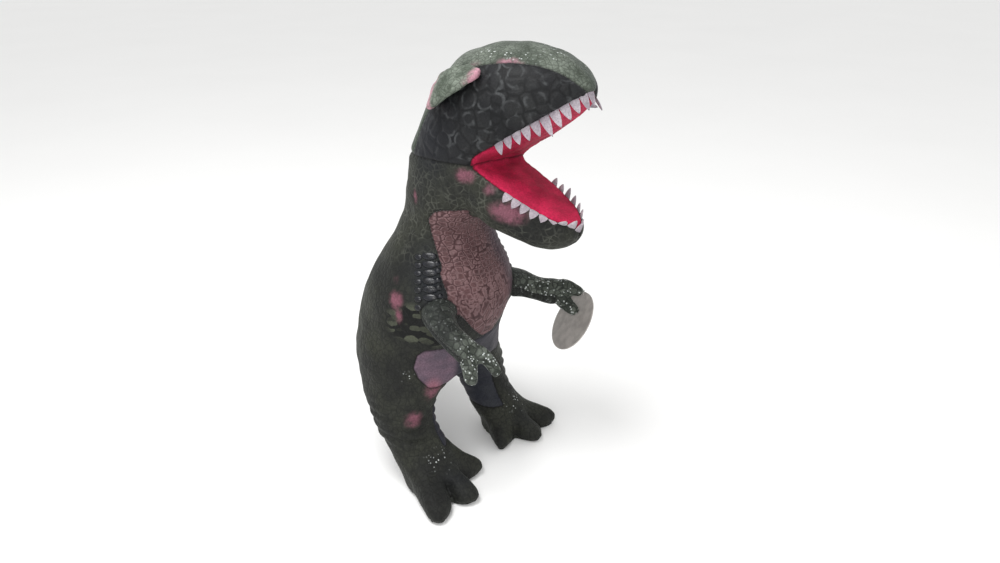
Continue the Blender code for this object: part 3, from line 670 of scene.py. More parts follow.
def start_material(name, roughness, sheen=0.0, sheen_tint=None, coat=0.0, specular=0.5):
    material = bpy.data.materials.new(name)
    material.use_nodes = True
    tree = material.node_tree
    shader = tree.nodes["Principled BSDF"]
    shader.inputs["Roughness"].default_value = roughness
    shader.inputs["Sheen Weight"].default_value = sheen
    shader.inputs["Sheen Roughness"].default_value = 0.45
    if sheen_tint:
        shader.inputs["Sheen Tint"].default_value = linear(sheen_tint)
    shader.inputs["Coat Weight"].default_value = coat
    shader.inputs["Specular IOR Level"].default_value = specular
    return material, tree, shader


def start_cloth(name, roughness, sheen, tint):
    return start_material(name, roughness, sheen, tint, specular=PILE_SPECULAR)


def value_of(tree, name):
    """The socket that gives a painted zone."""
    return add(tree, "ShaderNodeAttribute", attribute_name=name).outputs["Fac"]


def math_node(tree, operation, first, second=0.0, clamp=False):
    return add(tree, "ShaderNodeMath", {0: first, 1: second}, operation=operation,
               use_clamp=clamp).outputs[0]


def times(tree, first, second, clamp=False):
    return math_node(tree, "MULTIPLY", first, second, clamp)


def rest_of(tree, value):
    return math_node(tree, "SUBTRACT", 1.0, value)


def ramp(tree, value, low, high, out_low=0.0, out_high=1.0):
    return add(tree, "ShaderNodeMapRange",
               {"Value": value, "From Min": low, "From Max": high, "To Min": out_low,
                "To Max": out_high}, interpolation_type="SMOOTHSTEP").outputs[0]


def mix(tree, share, first, second, blend="MIX"):
    return add(tree, "ShaderNodeMix", {0: share, 6: first, 7: second}, data_type="RGBA",
               blend_type=blend).outputs[2]


def fine_noise(tree, place, size, detail=3.0, rough=0.55):
    """Noise with lumps of that size in metres."""
    return add(tree, "ShaderNodeTexNoise", {"Vector": place, "Scale": 1.0 / size,
                                            "Detail": detail, "Roughness": rough}).outputs["Fac"]


def scale_cells(tree, place, size, feature="F1", loose=0.9):
    """Scales of that breadth in metres, as Voronoi cells."""
    return add(tree, "ShaderNodeTexVoronoi", {"Vector": place, "Scale": 1.0 / size,
                                              "Randomness": loose}, feature=feature)


def own_tone(tree, cells):
    """A number of its own for each scale."""
    return add(tree, "ShaderNodeSeparateColor", {0: cells.outputs["Color"]}).outputs[0]


def object_place(tree):
    return add(tree, "ShaderNodeTexCoord").outputs["Object"]


def cloth_place(tree, wander=0.0025, size=0.012):
    """Object coordinates, and the same pushed about a little so that scales vary."""
    base = object_place(tree)
    shake = add(tree, "ShaderNodeTexNoise", {"Vector": base, "Scale": 1.0 / size, "Detail": 1.0})
    centred = add(tree, "ShaderNodeVectorMath", {0: shake.outputs["Color"], 1: (0.5, 0.5, 0.5)},
                  operation="SUBTRACT").outputs[0]
    push = add(tree, "ShaderNodeVectorMath", {0: centred, "Scale": wander * 2},
               operation="SCALE").outputs[0]
    pushed = add(tree, "ShaderNodeVectorMath", {0: base, 1: push}, operation="ADD").outputs[0]
    return base, pushed


def clouded(tree, base, size, low, high, dark, light, detail=3.0):
    """Two colours that run into each other in soft clouds of that size."""
    return mix(tree, ramp(tree, fine_noise(tree, base, size, detail), low, high), dark, light)


def finish_plain(tree, shader, colour, height=None, strength=0.0, depth=0.0):
    """Gives a shader its colour and, where there is one, its fine relief."""
    tree.links.new(colour, shader.inputs["Base Color"])
    if height is not None:
        bump = add(tree, "ShaderNodeBump", {"Height": height, "Strength": strength,
                                            "Distance": depth})
        tree.links.new(bump.outputs[0], shader.inputs["Normal"])


def finish_cloth(tree, shader, colour, relief, relief_depth, roughness, foil=None, shade=0.44,
                 pile=0.0009):
    """Adds the pile, which shades itself as painted shade, painted shade in the seams, and the pressed
    foil.
    """
    place = object_place(tree)
    pile_height = fine_noise(tree, place, pile, 2.0, 0.6)
    height = math_node(tree, "ADD", times(tree, relief, relief_depth),
                       times(tree, pile_height, 0.00022))
    bump = add(tree, "ShaderNodeBump", {"Height": height, "Strength": 1.0, "Distance": 1.0})
    tree.links.new(bump.outputs[0], shader.inputs["Normal"])
    # Painted shade: the pile's self-shading darkens the whole colour by the shade factor, in random
    # patches.
    wear_and_shade = ramp(tree, fine_noise(tree, place, 0.0016, 2.0), 0.2, 0.8, 0.75 * shade, 1.25 * shade)
    # Painted shade in the creases of the sewn seams.
    sewn = ramp(tree, value_of(tree, "seam"), 0.25, 1.0, 1.0, 0.35)
    wear_and_shade = times(tree, wear_and_shade, sewn)
    shaded = mix(tree, 1.0, colour, add(tree, "ShaderNodeCombineColor",
                                        {0: wear_and_shade, 1: wear_and_shade, 2: wear_and_shade}).outputs[0], "MULTIPLY")
    if foil is not None:
        # Pressed foil flakes; their pale colour is a painted glint.
        flakes = scale_cells(tree, place, 0.0030, loose=1.0)
        chosen = math_node(tree, "GREATER_THAN", own_tone(tree, flakes), 0.62)
        near = math_node(tree, "LESS_THAN", flakes.outputs["Distance"], 0.30)
        flake_and_glint = times(tree, times(tree, chosen, near), foil, True)
        shaded = mix(tree, flake_and_glint, shaded, "D9DEDC")
        roughness = ramp(tree, flake_and_glint, 0.0, 1.0, roughness, 0.22)
        tree.links.new(roughness, shader.inputs["Roughness"])
    tree.links.new(shaded, shader.inputs["Base Color"])


def side_cloth():
    """Velboa: a knitted short pile, printed in olive and near black with reptile scales.

    The pile gives it a soft edge sheen, and the print has pale nets, leaves and pink clouds.
    """
    material, tree, shader = start_cloth("scale_print_velboa_cloth", 0.62, 0.06, "B9BFB4")
    base, place = cloth_place(tree)
    colour = clouded(tree, base, 0.045, 0.35, 0.68, "2F302E", "484A40")
    streaks = add(tree, "ShaderNodeMapping", {"Vector": place, "Scale": (1.0, 1.0, 0.28)}).outputs[0]
    streak = fine_noise(tree, streaks, 0.0026, 2.0)
    colour = mix(tree, ramp(tree, streak, 0.45, 0.75, 0.0, 0.5), colour, "262725")
    edge = scale_cells(tree, place, 0.0068, "DISTANCE_TO_EDGE").outputs["Distance"]
    rim = rest_of(tree, ramp(tree, edge, 0.02, 0.12))
    net = times(tree, rim, times(tree, value_of(tree, "net"),
                    ramp(tree, fine_noise(tree, base, 0.014), 0.40, 0.62, 0.05, 0.36)))
    colour = mix(tree, net, colour, "8E9084")
    shadow = times(tree, rim, 0.45)
    colour = mix(tree, times(tree, shadow, rest_of(
        tree, value_of(tree, "net"))), colour, "1D1E1D")
    leaves_place = add(tree, "ShaderNodeMapping", {"Vector": place, "Scale": (1.0, 0.8, 1.5),
                                                   "Rotation": (0.35, 0.0, 0.0)}).outputs[0]
    leaves = scale_cells(tree, leaves_place, 0.0120, loose=1.0)
    leaf_edge = ramp(tree, leaves.outputs["Distance"], 0.42, 0.60, 0.5, 0.0)
    leaf_tone = own_tone(tree, leaves)
    leaf_colour = mix(tree, leaf_tone, "30322B", "686C5C")
    leaf_colour = mix(tree, ramp(tree, leaf_edge, 0.05, 0.20, 1.0, 0.0), leaf_colour,
                      "1C1D1C")
    colour = mix(tree, times(tree, value_of(tree, "cool"), 0.75, True), colour,
                 "262A33")
    colour = mix(tree, ramp(tree, value_of(tree, "leaf"), 0.25, 0.60), colour, leaf_colour)
    pink = times(tree, value_of(tree, "pink"),
                     ramp(tree, fine_noise(tree, base, 0.007), 0.25, 0.60, 0.55, 1.0), True)
    colour = mix(tree, ramp(tree, pink, 0.15, 0.85, 0.0, 0.85), colour, "B27184")
    relief = ramp(tree, edge, 0.0, 0.25)
    leaf_relief = ramp(tree, leaf_edge, 0.0, 0.25)
    relief = math_node(tree, "ADD", relief, times(tree, leaf_relief,
                                                      value_of(tree, "leaf")))
    finish_cloth(tree, shader, colour, relief, 0.00035, 0.62, value_of(tree, "foil"))
    return material


def dark_cloth():
    """Velboa printed near black, with the faint pale arcs of round overlapping scales."""
    material, tree, shader = start_cloth("dark_scale_velboa_cloth", 0.55, 0.05, "A9ADB5")
    base, place = cloth_place(tree, 0.003, 0.016)
    cells = scale_cells(tree, place, 0.0150, loose=0.75)
    distance = cells.outputs["Distance"]
    ring = times(tree, ramp(tree, distance, 0.40, 0.50),
                     ramp(tree, distance, 0.54, 0.62, 1.0, 0.0))
    edge = scale_cells(tree, place, 0.0150, "DISTANCE_TO_EDGE", 0.75).outputs["Distance"]
    groove = ramp(tree, edge, 0.02, 0.12, 1.0, 0.0)
    colour = clouded(tree, base, 0.040, 0.35, 0.65, "292A2D", "3A3B3C", 2.0)
    colour = mix(tree, times(tree, groove, 0.65), colour, "191A1C")
    patchy = ramp(tree, fine_noise(tree, base, 0.012, 2.0), 0.42, 0.66, 0.0, 0.60)
    colour = mix(tree, times(tree, ring, patchy), colour, "75787A")
    colour = mix(tree, times(tree, value_of(tree, "cool"), 0.7, True), colour,
                 "23252D")
    relief = math_node(tree, "SUBTRACT", ramp(tree, edge, 0.0, 0.30), times(
        tree, ring, 0.15))
    finish_cloth(tree, shader, colour, relief, 0.0006, 0.55, shade=0.44)
    return material


def crown_cloth(name, shade):
    """Pale grey-green velboa with small pebble scales, pink clouds and pressed silver foil."""
    material, tree, shader = start_cloth(name, 0.52, 0.10, "C8D0C6")
    base, place = cloth_place(tree)
    edge = scale_cells(tree, place, 0.0048, "DISTANCE_TO_EDGE").outputs["Distance"]
    colour = clouded(tree, base, 0.022, 0.32, 0.66, "4B5449", "7A8277")
    colour = mix(tree, ramp(tree, edge, 0.02, 0.14, 0.55, 0.0), colour, "33392F")
    pink = times(tree, value_of(tree, "pink"),
                     ramp(tree, fine_noise(tree, base, 0.006), 0.30, 0.60, 0.5, 1.0), True)
    colour = mix(tree, ramp(tree, pink, 0.12, 0.8, 0.0, 0.9), colour, "C08C9B")
    # Painted shade on the crown's far half; the crown also darkens low at the back of the head.
    colour = mix(tree, times(tree, value_of(tree, "far_crown"), 0.8), colour,
                 "3A443A")
    finish_cloth(tree, shader, colour, ramp(tree, edge, 0.0, 0.30), 0.00028, 0.50,
                 value_of(tree, "foil"), shade=shade)
    return material


def belly_cloth():
    """Mauve-brown velboa: small square scales at the throat that grow to long ones below."""
    material, tree, shader = start_cloth("belly_velboa_cloth", 0.58, 0.08, "C9A7AC")
    base, place = cloth_place(tree, 0.0015)
    small = scale_cells(tree, add(tree, "ShaderNodeMapping", {"Vector": place, "Scale":
                        (1.0, 0.5, 1.2)}).outputs[0], 0.0065, "DISTANCE_TO_EDGE", 0.45)
    long_place = add(tree, "ShaderNodeMapping", {"Vector": place, "Scale": (1.15, 0.5, 0.62),
                                                 "Rotation": (0.0, 0.25, 0.0)}).outputs[0]
    large = scale_cells(tree, long_place, 0.0095, "DISTANCE_TO_EDGE", 0.8)
    low = value_of(tree, "low")
    edge = add(tree, "ShaderNodeMix", {0: low, 2: small.outputs["Distance"],
                                       3: large.outputs["Distance"]}).outputs[0]
    tone = own_tone(tree, scale_cells(tree, long_place, 0.0095, loose=0.8))
    colour = clouded(tree, base, 0.020, 0.3, 0.7, "5B3F41", "775558")
    colour = mix(tree, times(tree, tone, 0.35), colour, "8A6767")
    rim = times(tree, ramp(tree, edge, 0.05, 0.10), ramp(tree, edge, 0.12, 0.24,
                                                                          1.0, 0.0))
    colour = mix(tree, times(tree, rim, 0.55), colour, "B08E90")
    # Painted shade: a thin dark line along the scales' edges.
    colour = mix(tree, ramp(tree, edge, 0.01, 0.08, 0.6, 0.0), colour, "42292C")
    # Painted shade on the far side of the belly.
    colour = mix(tree, times(tree, value_of(tree, "far_belly"), 0.70), colour,
                 "413A49")
    finish_cloth(tree, shader, colour, ramp(tree, edge, 0.0, 0.28), 0.0007, 0.55, shade=0.50)
    return material


def thigh_cloth():
    """Dull mauve velboa with a fine crosswise rib, going pink down the leg."""
    material, tree, shader = start_cloth("inner_thigh_velboa_cloth", 0.62, 0.1, "BFA9B8")
    base = object_place(tree)
    rib = add(tree, "ShaderNodeTexWave", {"Vector": base, "Scale": 1.0 / 0.0065 / 6.283,
                                          "Distortion": 1.2, "Detail": 1.0},
              wave_type="BANDS", bands_direction="Z").outputs["Fac"]
    colour = clouded(tree, base, 0.025, 0.35, 0.65, "574C57", "6A5663")
    colour = mix(tree, times(tree, rib, 0.25), colour, "4B444F")
    colour = mix(tree, ramp(tree, value_of(tree, "pink"), 0.1, 0.8, 0.0, 0.8), colour,
                 "9A6270")
    # Painted shade: the inner legs take a dark colour except on the near leg's upper part.
    shade_side = clouded(tree, base, 0.03, 0.35, 0.65, "262830", "33353A")
    colour = mix(tree, value_of(tree, "near_thigh"), shade_side, colour)
    finish_cloth(tree, shader, colour, rib, 0.0001, 0.62, shade=0.85)
    return material


def arm_cloth(name, dark, light, foil):
    """Grey-green velboa with pebble scales; the upper half carries pressed foil."""
    material, tree, shader = start_cloth(name, 0.50, 0.08, "C2CAC2")
    _, place = cloth_place(tree, 0.0015)
    cells = scale_cells(tree, place, 0.0062, loose=0.85)
    edge = scale_cells(tree, place, 0.0062, "DISTANCE_TO_EDGE", 0.85).outputs["Distance"]
    tone = own_tone(tree, cells)
    colour = mix(tree, ramp(tree, tone, 0.0, 1.0), dark, light)
    colour = mix(tree, ramp(tree, edge, 0.02, 0.16, 0.7, 0.0), colour, "262A26")
    # Painted shade darkens the arm towards its root; it reaches less far on the far arm, whose top the
    # light falls on.
    arm_root_shade = rest_of(tree, value_of(tree, "hand"))
    colour = mix(tree, times(tree, arm_root_shade, 0.75), colour, "2A2D2C")
    glints = times(tree, ramp(tree, value_of(tree, "hand"), 0.0, 1.0, 0.15, 1.0),
                       foil)
    finish_cloth(tree, shader, colour, ramp(tree, edge, 0.0, 0.28), 0.0005, 0.48, glints,
                 shade=0.50)
    return material


def plain_pile(name, dark, light, roughness, sheen, tint, shade=0.56, pile=0.0008):
    """A plain pile or felt: one dye, with cloudy shading where the pile lies differently."""
    material, tree, shader = start_cloth(name, roughness, sheen, tint)
    base = object_place(tree)
    colour = clouded(tree, base, 0.018, 0.3, 0.7, dark, light)
    fibres = fine_noise(tree, base, 0.0012, 3.0, 0.7)
    finish_cloth(tree, shader, colour, fibres, 0.00012, roughness, shade=shade, pile=pile)
    return material


def tag_card():
    """Uncoated grey-white card with a fine paper grain."""
    material, tree, shader = start_material("grey_board_card", 0.62)
    base = object_place(tree)
    grain = fine_noise(tree, base, 0.0011, 4.0, 0.7)
    colour = clouded(tree, base, 0.012, 0.35, 0.65, "9C9792", "B4AEA9")
    colour = mix(tree, ramp(tree, grain, 0.35, 0.7, 0.0, 0.25), colour, "8A8681")
    finish_plain(tree, shader, colour, grain, 0.4, 0.0002)
    return material


def foil_scale():
    """Blue-black foil pressed on raised scales: smooth, so that it takes small bright glints."""
    material, tree, shader = start_material("blue_black_foil_scale", 0.24, specular=0.4)
    base = object_place(tree)
    colour = clouded(tree, base, 0.005, 0.35, 0.65, "07080C", "12141C")
    wear_and_shade = ramp(tree, fine_noise(tree, base, 0.002, 3.0), 0.35, 0.7, 0.20, 0.52)
    tree.links.new(wear_and_shade, shader.inputs["Roughness"])
    finish_plain(tree, shader, colour, fine_noise(tree, base, 0.0015, 2.0), 0.35, 0.0003)
    return material


def thread_material(name, dark, light):
    """Spun polyester thread, drawn thicker than real so that it shows."""
    material, tree, shader = start_material(name, 0.6, 0.2)
    base = object_place(tree)
    twist = fine_noise(tree, base, 0.0006, 2.0)
    colour = mix(tree, twist, dark, light)
    finish_plain(tree, shader, colour)
    return material


def clear_nylon():
    """Moulded nylon: glossy and a little cloudy."""
    material, tree, shader = start_material("moulded_clear_nylon", 0.25, coat=0.2)
    base = object_place(tree)
    colour = mix(tree, fine_noise(tree, base, 0.003), "8E8C88", "A8A6A2")
    finish_plain(tree, shader, colour)
    return material


FINISHES = {
    "side": side_cloth(),
    "dark": dark_cloth(),
    "crown": crown_cloth("crown_velboa_cloth", 0.64),
    "flap": crown_cloth("brow_flap_velboa_cloth", 0.88),
    "belly": belly_cloth(),
    "thigh": thigh_cloth(),
    "arm": arm_cloth("arm_velboa_cloth", "4A5048", "7C8379", 0.55),
    "arm_under": arm_cloth("arm_underside_velboa_cloth", "2C2E2C", "454943", 0.12),
    "mouth": plain_pile("mouth_velour_pile", "8E1434", "B01E44", 0.80, 0.05, "E89AA8", 1.0),
    "felt": plain_pile("white_tooth_felt", "A79CA6", "C0B8BF", 0.9, 0.06, "FFFFFF", 0.68),
    "sole": plain_pile("sole_velboa_pile", "3A3C38", "4A4D47", 0.8, 0.06, "9AA095"),
    "card": tag_card(),
    "foil": foil_scale(),
    "dark_thread": thread_material("dark_sewing_thread", "1F201F", "3A3B39"),
    "nylon": clear_nylon(),
}

# ---------------------------------------------------------------- the skins
def cap_holes(points, faces):
    """Closes each open edge loop with a fan round a point that lies inside."""
    owners = {}
    for face in faces:
        for one, other in zip(face, face[1:] + face[:1]):
            owners[(one, other)] = True
    follow = {other: one for one, other in owners if (other, one) not in owners}
    added_points = []
    added_faces = []
    while follow:
        start = next(iter(follow))
        loop = [start]
        while follow.get(loop[-1], start) != start:
            loop.append(follow.pop(loop[-1]))
        follow.pop(loop[-1], None)
        if len(loop) < 3:
            continue
        centre = points[loop].mean(axis=0)
        index = len(points) + len(added_points)
        added_points.append(centre)
        for one, other in zip(loop, loop[1:] + loop[:1]):
            added_faces.append([one, other, index])
    return added_points, added_faces


def make_skin(name, labels):
    """One closed skin from the faces of its panels, with a finish for each panel."""
    numbers = [LABELS.index(label) for label in labels]
    chosen = np.isin(whole_labels, numbers)
    faces = whole_faces[chosen]
    used, inverse = np.unique(faces, return_inverse=True)
    faces = inverse.reshape(-1, 4).tolist()
    points = whole_points[used]
    cap_points, cap_faces = cap_holes(points, faces)
    every_point = np.vstack([points] + [np.array(cap_points).reshape(-1, 3)])
    skin = new_object(name, every_point, faces + cap_faces)
    finishes = []
    for label in labels:
        if PANELS[label][1] not in finishes:
            finishes.append(PANELS[label][1])
    for finish in finishes:
        skin.data.materials.append(FINISHES[finish])
    slot_of = {number: finishes.index(PANELS[LABELS[number]][1]) for number in numbers}
    slots = [slot_of[number] for number in whole_labels[chosen]] + [0] * len(cap_faces)
    skin.data.polygons.foreach_set("material_index", np.array(slots, np.int32))
    skin.data.shade_smooth()
    smooth = np.vstack([whole_normals[used], np.zeros((len(cap_points), 3))])
    skin.data.normals_split_custom_set_from_vertices(smooth.tolist())
    paint_zones(skin, every_point - HOME)
    store(skin.data, "seam", np.append(whole_seam[used], np.zeros(len(cap_points))))
    return skin


def joint_blend(piece, name):
    """Rides a piece on the head; any other piece keeps its place, which is baked into its mesh."""
    if name == "head":
        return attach(piece, "head")
    if name == "trunk":
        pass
    elif name == "jaw":
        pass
    elif name == "tail":
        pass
    else:
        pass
    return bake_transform(piece)


skins = {}
for skin_name, skin_labels in SKINS.items():
    skins[skin_name] = make_skin(skin_name, skin_labels)
bpy.data.meshes.remove(whole)


# ---------------------------------------------------------------- what repeats, by geometry nodes
def strew_tree(name, material):
    """A tree that sets a shape on points, turned and sized by the points' own attributes."""
    tree = bpy.data.node_groups.new(name, "GeometryNodeTree")
    tree.interface.new_socket("Geometry", in_out="INPUT", socket_type="NodeSocketGeometry")
    tree.interface.new_socket("Shape", in_out="INPUT", socket_type="NodeSocketObject")
    size_input = tree.interface.new_socket("Size", in_out="INPUT", socket_type="NodeSocketFloat")
    size_input.default_value = 1.0
    tree.interface.new_socket("Geometry", in_out="OUTPUT", socket_type="NodeSocketGeometry")
    given = add(tree, "NodeGroupInput")
    result = add(tree, "NodeGroupOutput")
    shape = add(tree, "GeometryNodeObjectInfo", {"Object": given.outputs["Shape"]})
    turn = add(tree, "GeometryNodeInputNamedAttribute", {"Name": "turn"}, data_type="FLOAT_VECTOR")
    size = add(tree, "GeometryNodeInputNamedAttribute", {"Name": "size"}, data_type="FLOAT_VECTOR")
    scaled = add(tree, "ShaderNodeVectorMath", {0: size.outputs["Attribute"],
                                                "Scale": given.outputs["Size"]}, operation="SCALE")
    put = add(tree, "GeometryNodeInstanceOnPoints",
              {"Points": given.outputs["Geometry"], "Instance": shape.outputs["Geometry"],
               "Rotation": turn.outputs["Attribute"], "Scale": scaled.outputs[0]})
    real = add(tree, "GeometryNodeRealizeInstances", {"Geometry": put.outputs[0]})
    painted = add(tree, "GeometryNodeSetMaterial", {"Geometry": real.outputs[0],
                                                    "Material": material})
    tree.links.new(painted.outputs[0], result.inputs[0])
    return tree


def strew(name, shape, material, places, turns, sizes):
    """A plain mesh of one shape set at many places; each turn is a 3 by 3 matrix of axes."""
    holder = new_object(name, places, [])
    angles = [Matrix(turn).to_euler()[:] for turn in turns]
    for attribute_name, values in (("turn", angles), ("size", sizes)):
        attribute = holder.data.attributes.new(attribute_name, "FLOAT_VECTOR", "POINT")
        attribute.data.foreach_set("vector", np.array(values, np.float32).ravel())
    modifier = holder.modifiers.new("strew", "NODES")
    modifier.node_group = strew_tree(name + "_tree", material)
    wanted = {item.name: item.identifier for item in modifier.node_group.interface.items_tree
              if item.in_out == "INPUT"}
    modifier[wanted["Shape"]] = shape
    modifier[wanted["Size"]] = 1.0
    mesh = evaluated_mesh(holder)
    holder.modifiers.remove(modifier)
    holder.data = mesh
    holder.data.name = name
    holder.data.shade_smooth()
    return holder


def facing_out(shape):
    clean = bmesh.new()
    clean.from_mesh(shape.data)
    bmesh.ops.recalc_face_normals(clean, faces=clean.faces)
    clean.to_mesh(shape.data)
    clean.free()
    return shape


def tooth_shape():
    """A leaf-shaped felt tooth of unit breadth, length and thickness, pointing along -Z."""
    points = []
    rows = 9
    columns = 5
    for face in (1, -1):
        for row in range(rows):
            down = row / (rows - 1)
            breadth = 0.5 * (1.0 - down ** 1.7) ** 0.75
            for column in range(columns):
                across = 2.0 * column / (columns - 1) - 1.0
                bulge = 0.5 * (1.0 - across ** 4) * (1.0 - 0.7 * down ** 3)
                cup = 0.9 * (1.0 - across ** 2) * math.sin(down * math.pi * 0.8)
                points.append((across * max(breadth, 0.02), face * bulge + cup, -down))
    faces = []
    count = rows * columns
    for row in range(rows - 1):
        for column in range(columns - 1):
            low = row * columns + column
            square = [low, low + 1, low + columns + 1, low + columns]
            faces.append(square)
            faces.append([count + index for index in square[::-1]])
    rim = ([(0, column) for column in range(columns)]
           + [(row, columns - 1) for row in range(1, rows)]
           + [(rows - 1, column) for column in range(columns - 2, -1, -1)]
           + [(row, 0) for row in range(rows - 2, 0, -1)])
    rim = [row * columns + column for row, column in rim]
    for one, other in zip(rim, rim[1:] + rim[:1]):
        faces.append([other, one, count + one, count + other])
    return facing_out(new_object("tooth_shape", points, faces))


def dome_shape():
    """A low oval dome, closed below: a raised scale."""
    rings = 4
    columns = 14
    points = [(0.0, 0.0, 1.0)]
    for ring in range(1, rings + 1):
        lean = ring / rings * math.pi / 2
        for column in range(columns):
            angle = 2 * math.pi * column / columns
            points.append((math.sin(lean) * math.cos(angle), math.sin(lean) * math.sin(angle),
                           math.cos(lean)))
    points.append((0.0, 0.0, -0.3))
    faces = [[0, 1 + column, 1 + (column + 1) % columns] for column in range(columns)]
    for ring in range(rings - 1):
        for column in range(columns):
            low = 1 + ring * columns
            faces.append([low + column, low + columns + column,
                          low + columns + (column + 1) % columns, low + (column + 1) % columns])
    low = 1 + (rings - 1) * columns
    faces += [[low + (column + 1) % columns, low + column, len(points) - 1]
              for column in range(columns)]
    return new_object("dome_shape", points, faces)


def stitch_shape():
    """One laid stitch: a short thread that dips at both ends."""
    sides = 6
    rows = 5
    points = []
    for row in range(rows):
        along = 2.0 * row / (rows - 1) - 1.0
        thick = 1.0 - 0.55 * along ** 4
        for side in range(sides):
            angle = 2 * math.pi * side / sides
            points.append((thick * math.cos(angle), along, thick * math.sin(angle) - along ** 2))
    faces = []
    for row in range(rows - 1):
        for side in range(sides):
            low = row * sides
            faces.append([low + side, low + (side + 1) % sides,
                          low + sides + (side + 1) % sides, low + sides + side])
    faces.append(list(range(sides)))
    faces.append([(rows - 1) * sides + side for side in range(sides)][::-1])
    return facing_out(new_object("stitch_shape", points, faces))


TOOTH = tooth_shape()
DOME = dome_shape()
STITCH = stitch_shape()


# ---------------------------------------------------------------- seam lines
def seam_lines_between(first, second):
    """The lines of points along which two groups of panels meet, each in order."""
    sides = {}
    wanted = np.isin(whole_labels, first + second)
    for face, label in zip(whole_faces[wanted], whole_labels[wanted]):
        for one, other in zip(face, np.roll(face, -1)):
            sides.setdefault((min(one, other), max(one, other)), set()).add(label in first)
    links = {}
    for (one, other), labels in sides.items():
        if len(labels) == 2:
            links.setdefault(one, []).append(other)
            links.setdefault(other, []).append(one)
    lines = []
    while links:
        ends = [point for point, near in links.items() if len(near) == 1]
        here = ends[0] if ends else next(iter(links))
        line = [here]
        while links.get(here):
            there = links[here].pop()
            links[there].remove(here)
            line.append(there)
            here = there
        links = {point: near for point, near in links.items() if near}
        if len(line) > 6:
            lines.append(np.array(line))
    return lines


def evenly(points, step, start=0.5):
    """Places at even steps along a line."""
    lengths = np.linalg.norm(np.diff(points, axis=0), axis=1)
    along = np.concatenate([[0.0], np.cumsum(lengths)])
    wanted = np.arange(start * step, along[-1], step)
    return np.stack([np.interp(wanted, along, points[:, axis]) for axis in range(3)], axis=1)


def smooth_line(points, rounds=4):
    points = points.copy()
    for _ in range(rounds):
        points[1:-1] += 0.5 * ((points[:-2] + points[2:]) / 2 - points[1:-1])
    return points


def axes_of(across, along, up):
    """A turn that takes X to across, Y to along and Z to up."""
    return np.stack([across, along, up], axis=1)


def sew(name, pairs, joint):
    """Dark hand stitches along the seams between pairs of panels."""
    places, turns, sizes = [], [], []
    for first, second in pairs:
        for line in seam_lines_between([LABELS.index(first)], [LABELS.index(second)]):
            track = smooth_line(whole_points[line])
            normals = whole_normals[line]
            spots_on = evenly(track, STITCH_EVERY)
            if len(spots_on) < 3:
                continue
            tangents = unit(np.gradient(spots_on, axis=0))
            nearest = [int(np.argmin(((track - spot) ** 2).sum(axis=1))) for spot in spots_on]
            up = unit(normals[nearest])
            across = unit(np.cross(tangents, up))
            up = np.cross(across, tangents)
            for spot, side, along, top in zip(spots_on, across, tangents, up):
                places.append(spot + top * STITCH_LIFT)
                turns.append(axes_of(side, along, top))
                sizes.append(STITCH_SIZE)
    piece = strew(name, STITCH, FINISHES["dark_thread"], places, turns, sizes)
    joint_blend(piece, joint)


# ---------------------------------------------------------------- teeth
def lip_line(lining, panels, side):
    """Half of a lip: from the corner of the mouth on one side to the middle of the front."""
    lining_number = LABELS.index(lining)
    numbers = [LABELS.index(panel) for panel in panels]
    line = max(seam_lines_between([lining_number], numbers), key=len)
    track = smooth_line(whole_points[line], 8)
    if side * (track[0][0] - track[-1][0]) < 0:
        track = track[::-1]
    middle = int(np.argmin(track[:, 1]))
    return track[:middle + 1]


def tooth_row(side_name, side, jaw, teeth):
    """Felt teeth along half a lip; each is its place along it, length, breadth and splay."""
    lining, panels, joint = LIPS[jaw]
    downwards = jaw == "upper"
    track = lip_line(lining, panels, side)
    lengths = np.linalg.norm(np.diff(track, axis=0), axis=1)
    along = np.concatenate([[0.0], np.cumsum(lengths)])
    along /= along[-1]
    places, turns, sizes = [], [], []
    mouth = whole_points[np.unique(whole_faces[whole_labels == LABELS.index(lining)])].mean(axis=0)
    for place, length, breadth, splay in teeth:
        spot = np.array([np.interp(place, along, track[:, axis]) for axis in range(3)])
        ahead = np.array([np.interp(min(place + 0.03, 1.0), along, track[:, axis])
                          - np.interp(max(place - 0.03, 0.0), along, track[:, axis])
                          for axis in range(3)])
        forward = unit(ahead)
        outward = spot - mouth
        outward -= forward * (outward @ forward)
        outward[2] *= 0.15
        outward = unit(outward - forward * (outward @ forward))
        fall = np.cross(forward, outward) * (side if downwards else -side)
        fall = unit(fall) * (1 if (fall[2] < 0) == downwards else -1)
        angle = math.radians(splay)
        point = unit(fall * math.cos(angle) + outward * math.sin(angle))
        broad = unit(forward - point * (forward @ point))
        thick = np.cross(-point, broad)
        places.append(spot - point * TOOTH_SUNK + outward * TOOTH_OUT)
        turns.append(axes_of(broad, thick, -point))
        sizes.append((breadth, TOOTH_THICK, length + TOOTH_SUNK))
    row = strew(f"{side_name}_{jaw}_tooth_strip", TOOTH, FINISHES["felt"], places, turns, sizes)
    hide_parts(f"{side_name}_{jaw}_teeth")
    joint_blend(row, joint)


def spaced(first, last, breadth, teeth):
    """Teeth at even steps from the first place along the lip to the last."""
    places = np.linspace(first, last, len(teeth))
    return [(place, length, breadth, splay) for place, (length, splay) in zip(places, teeth)]


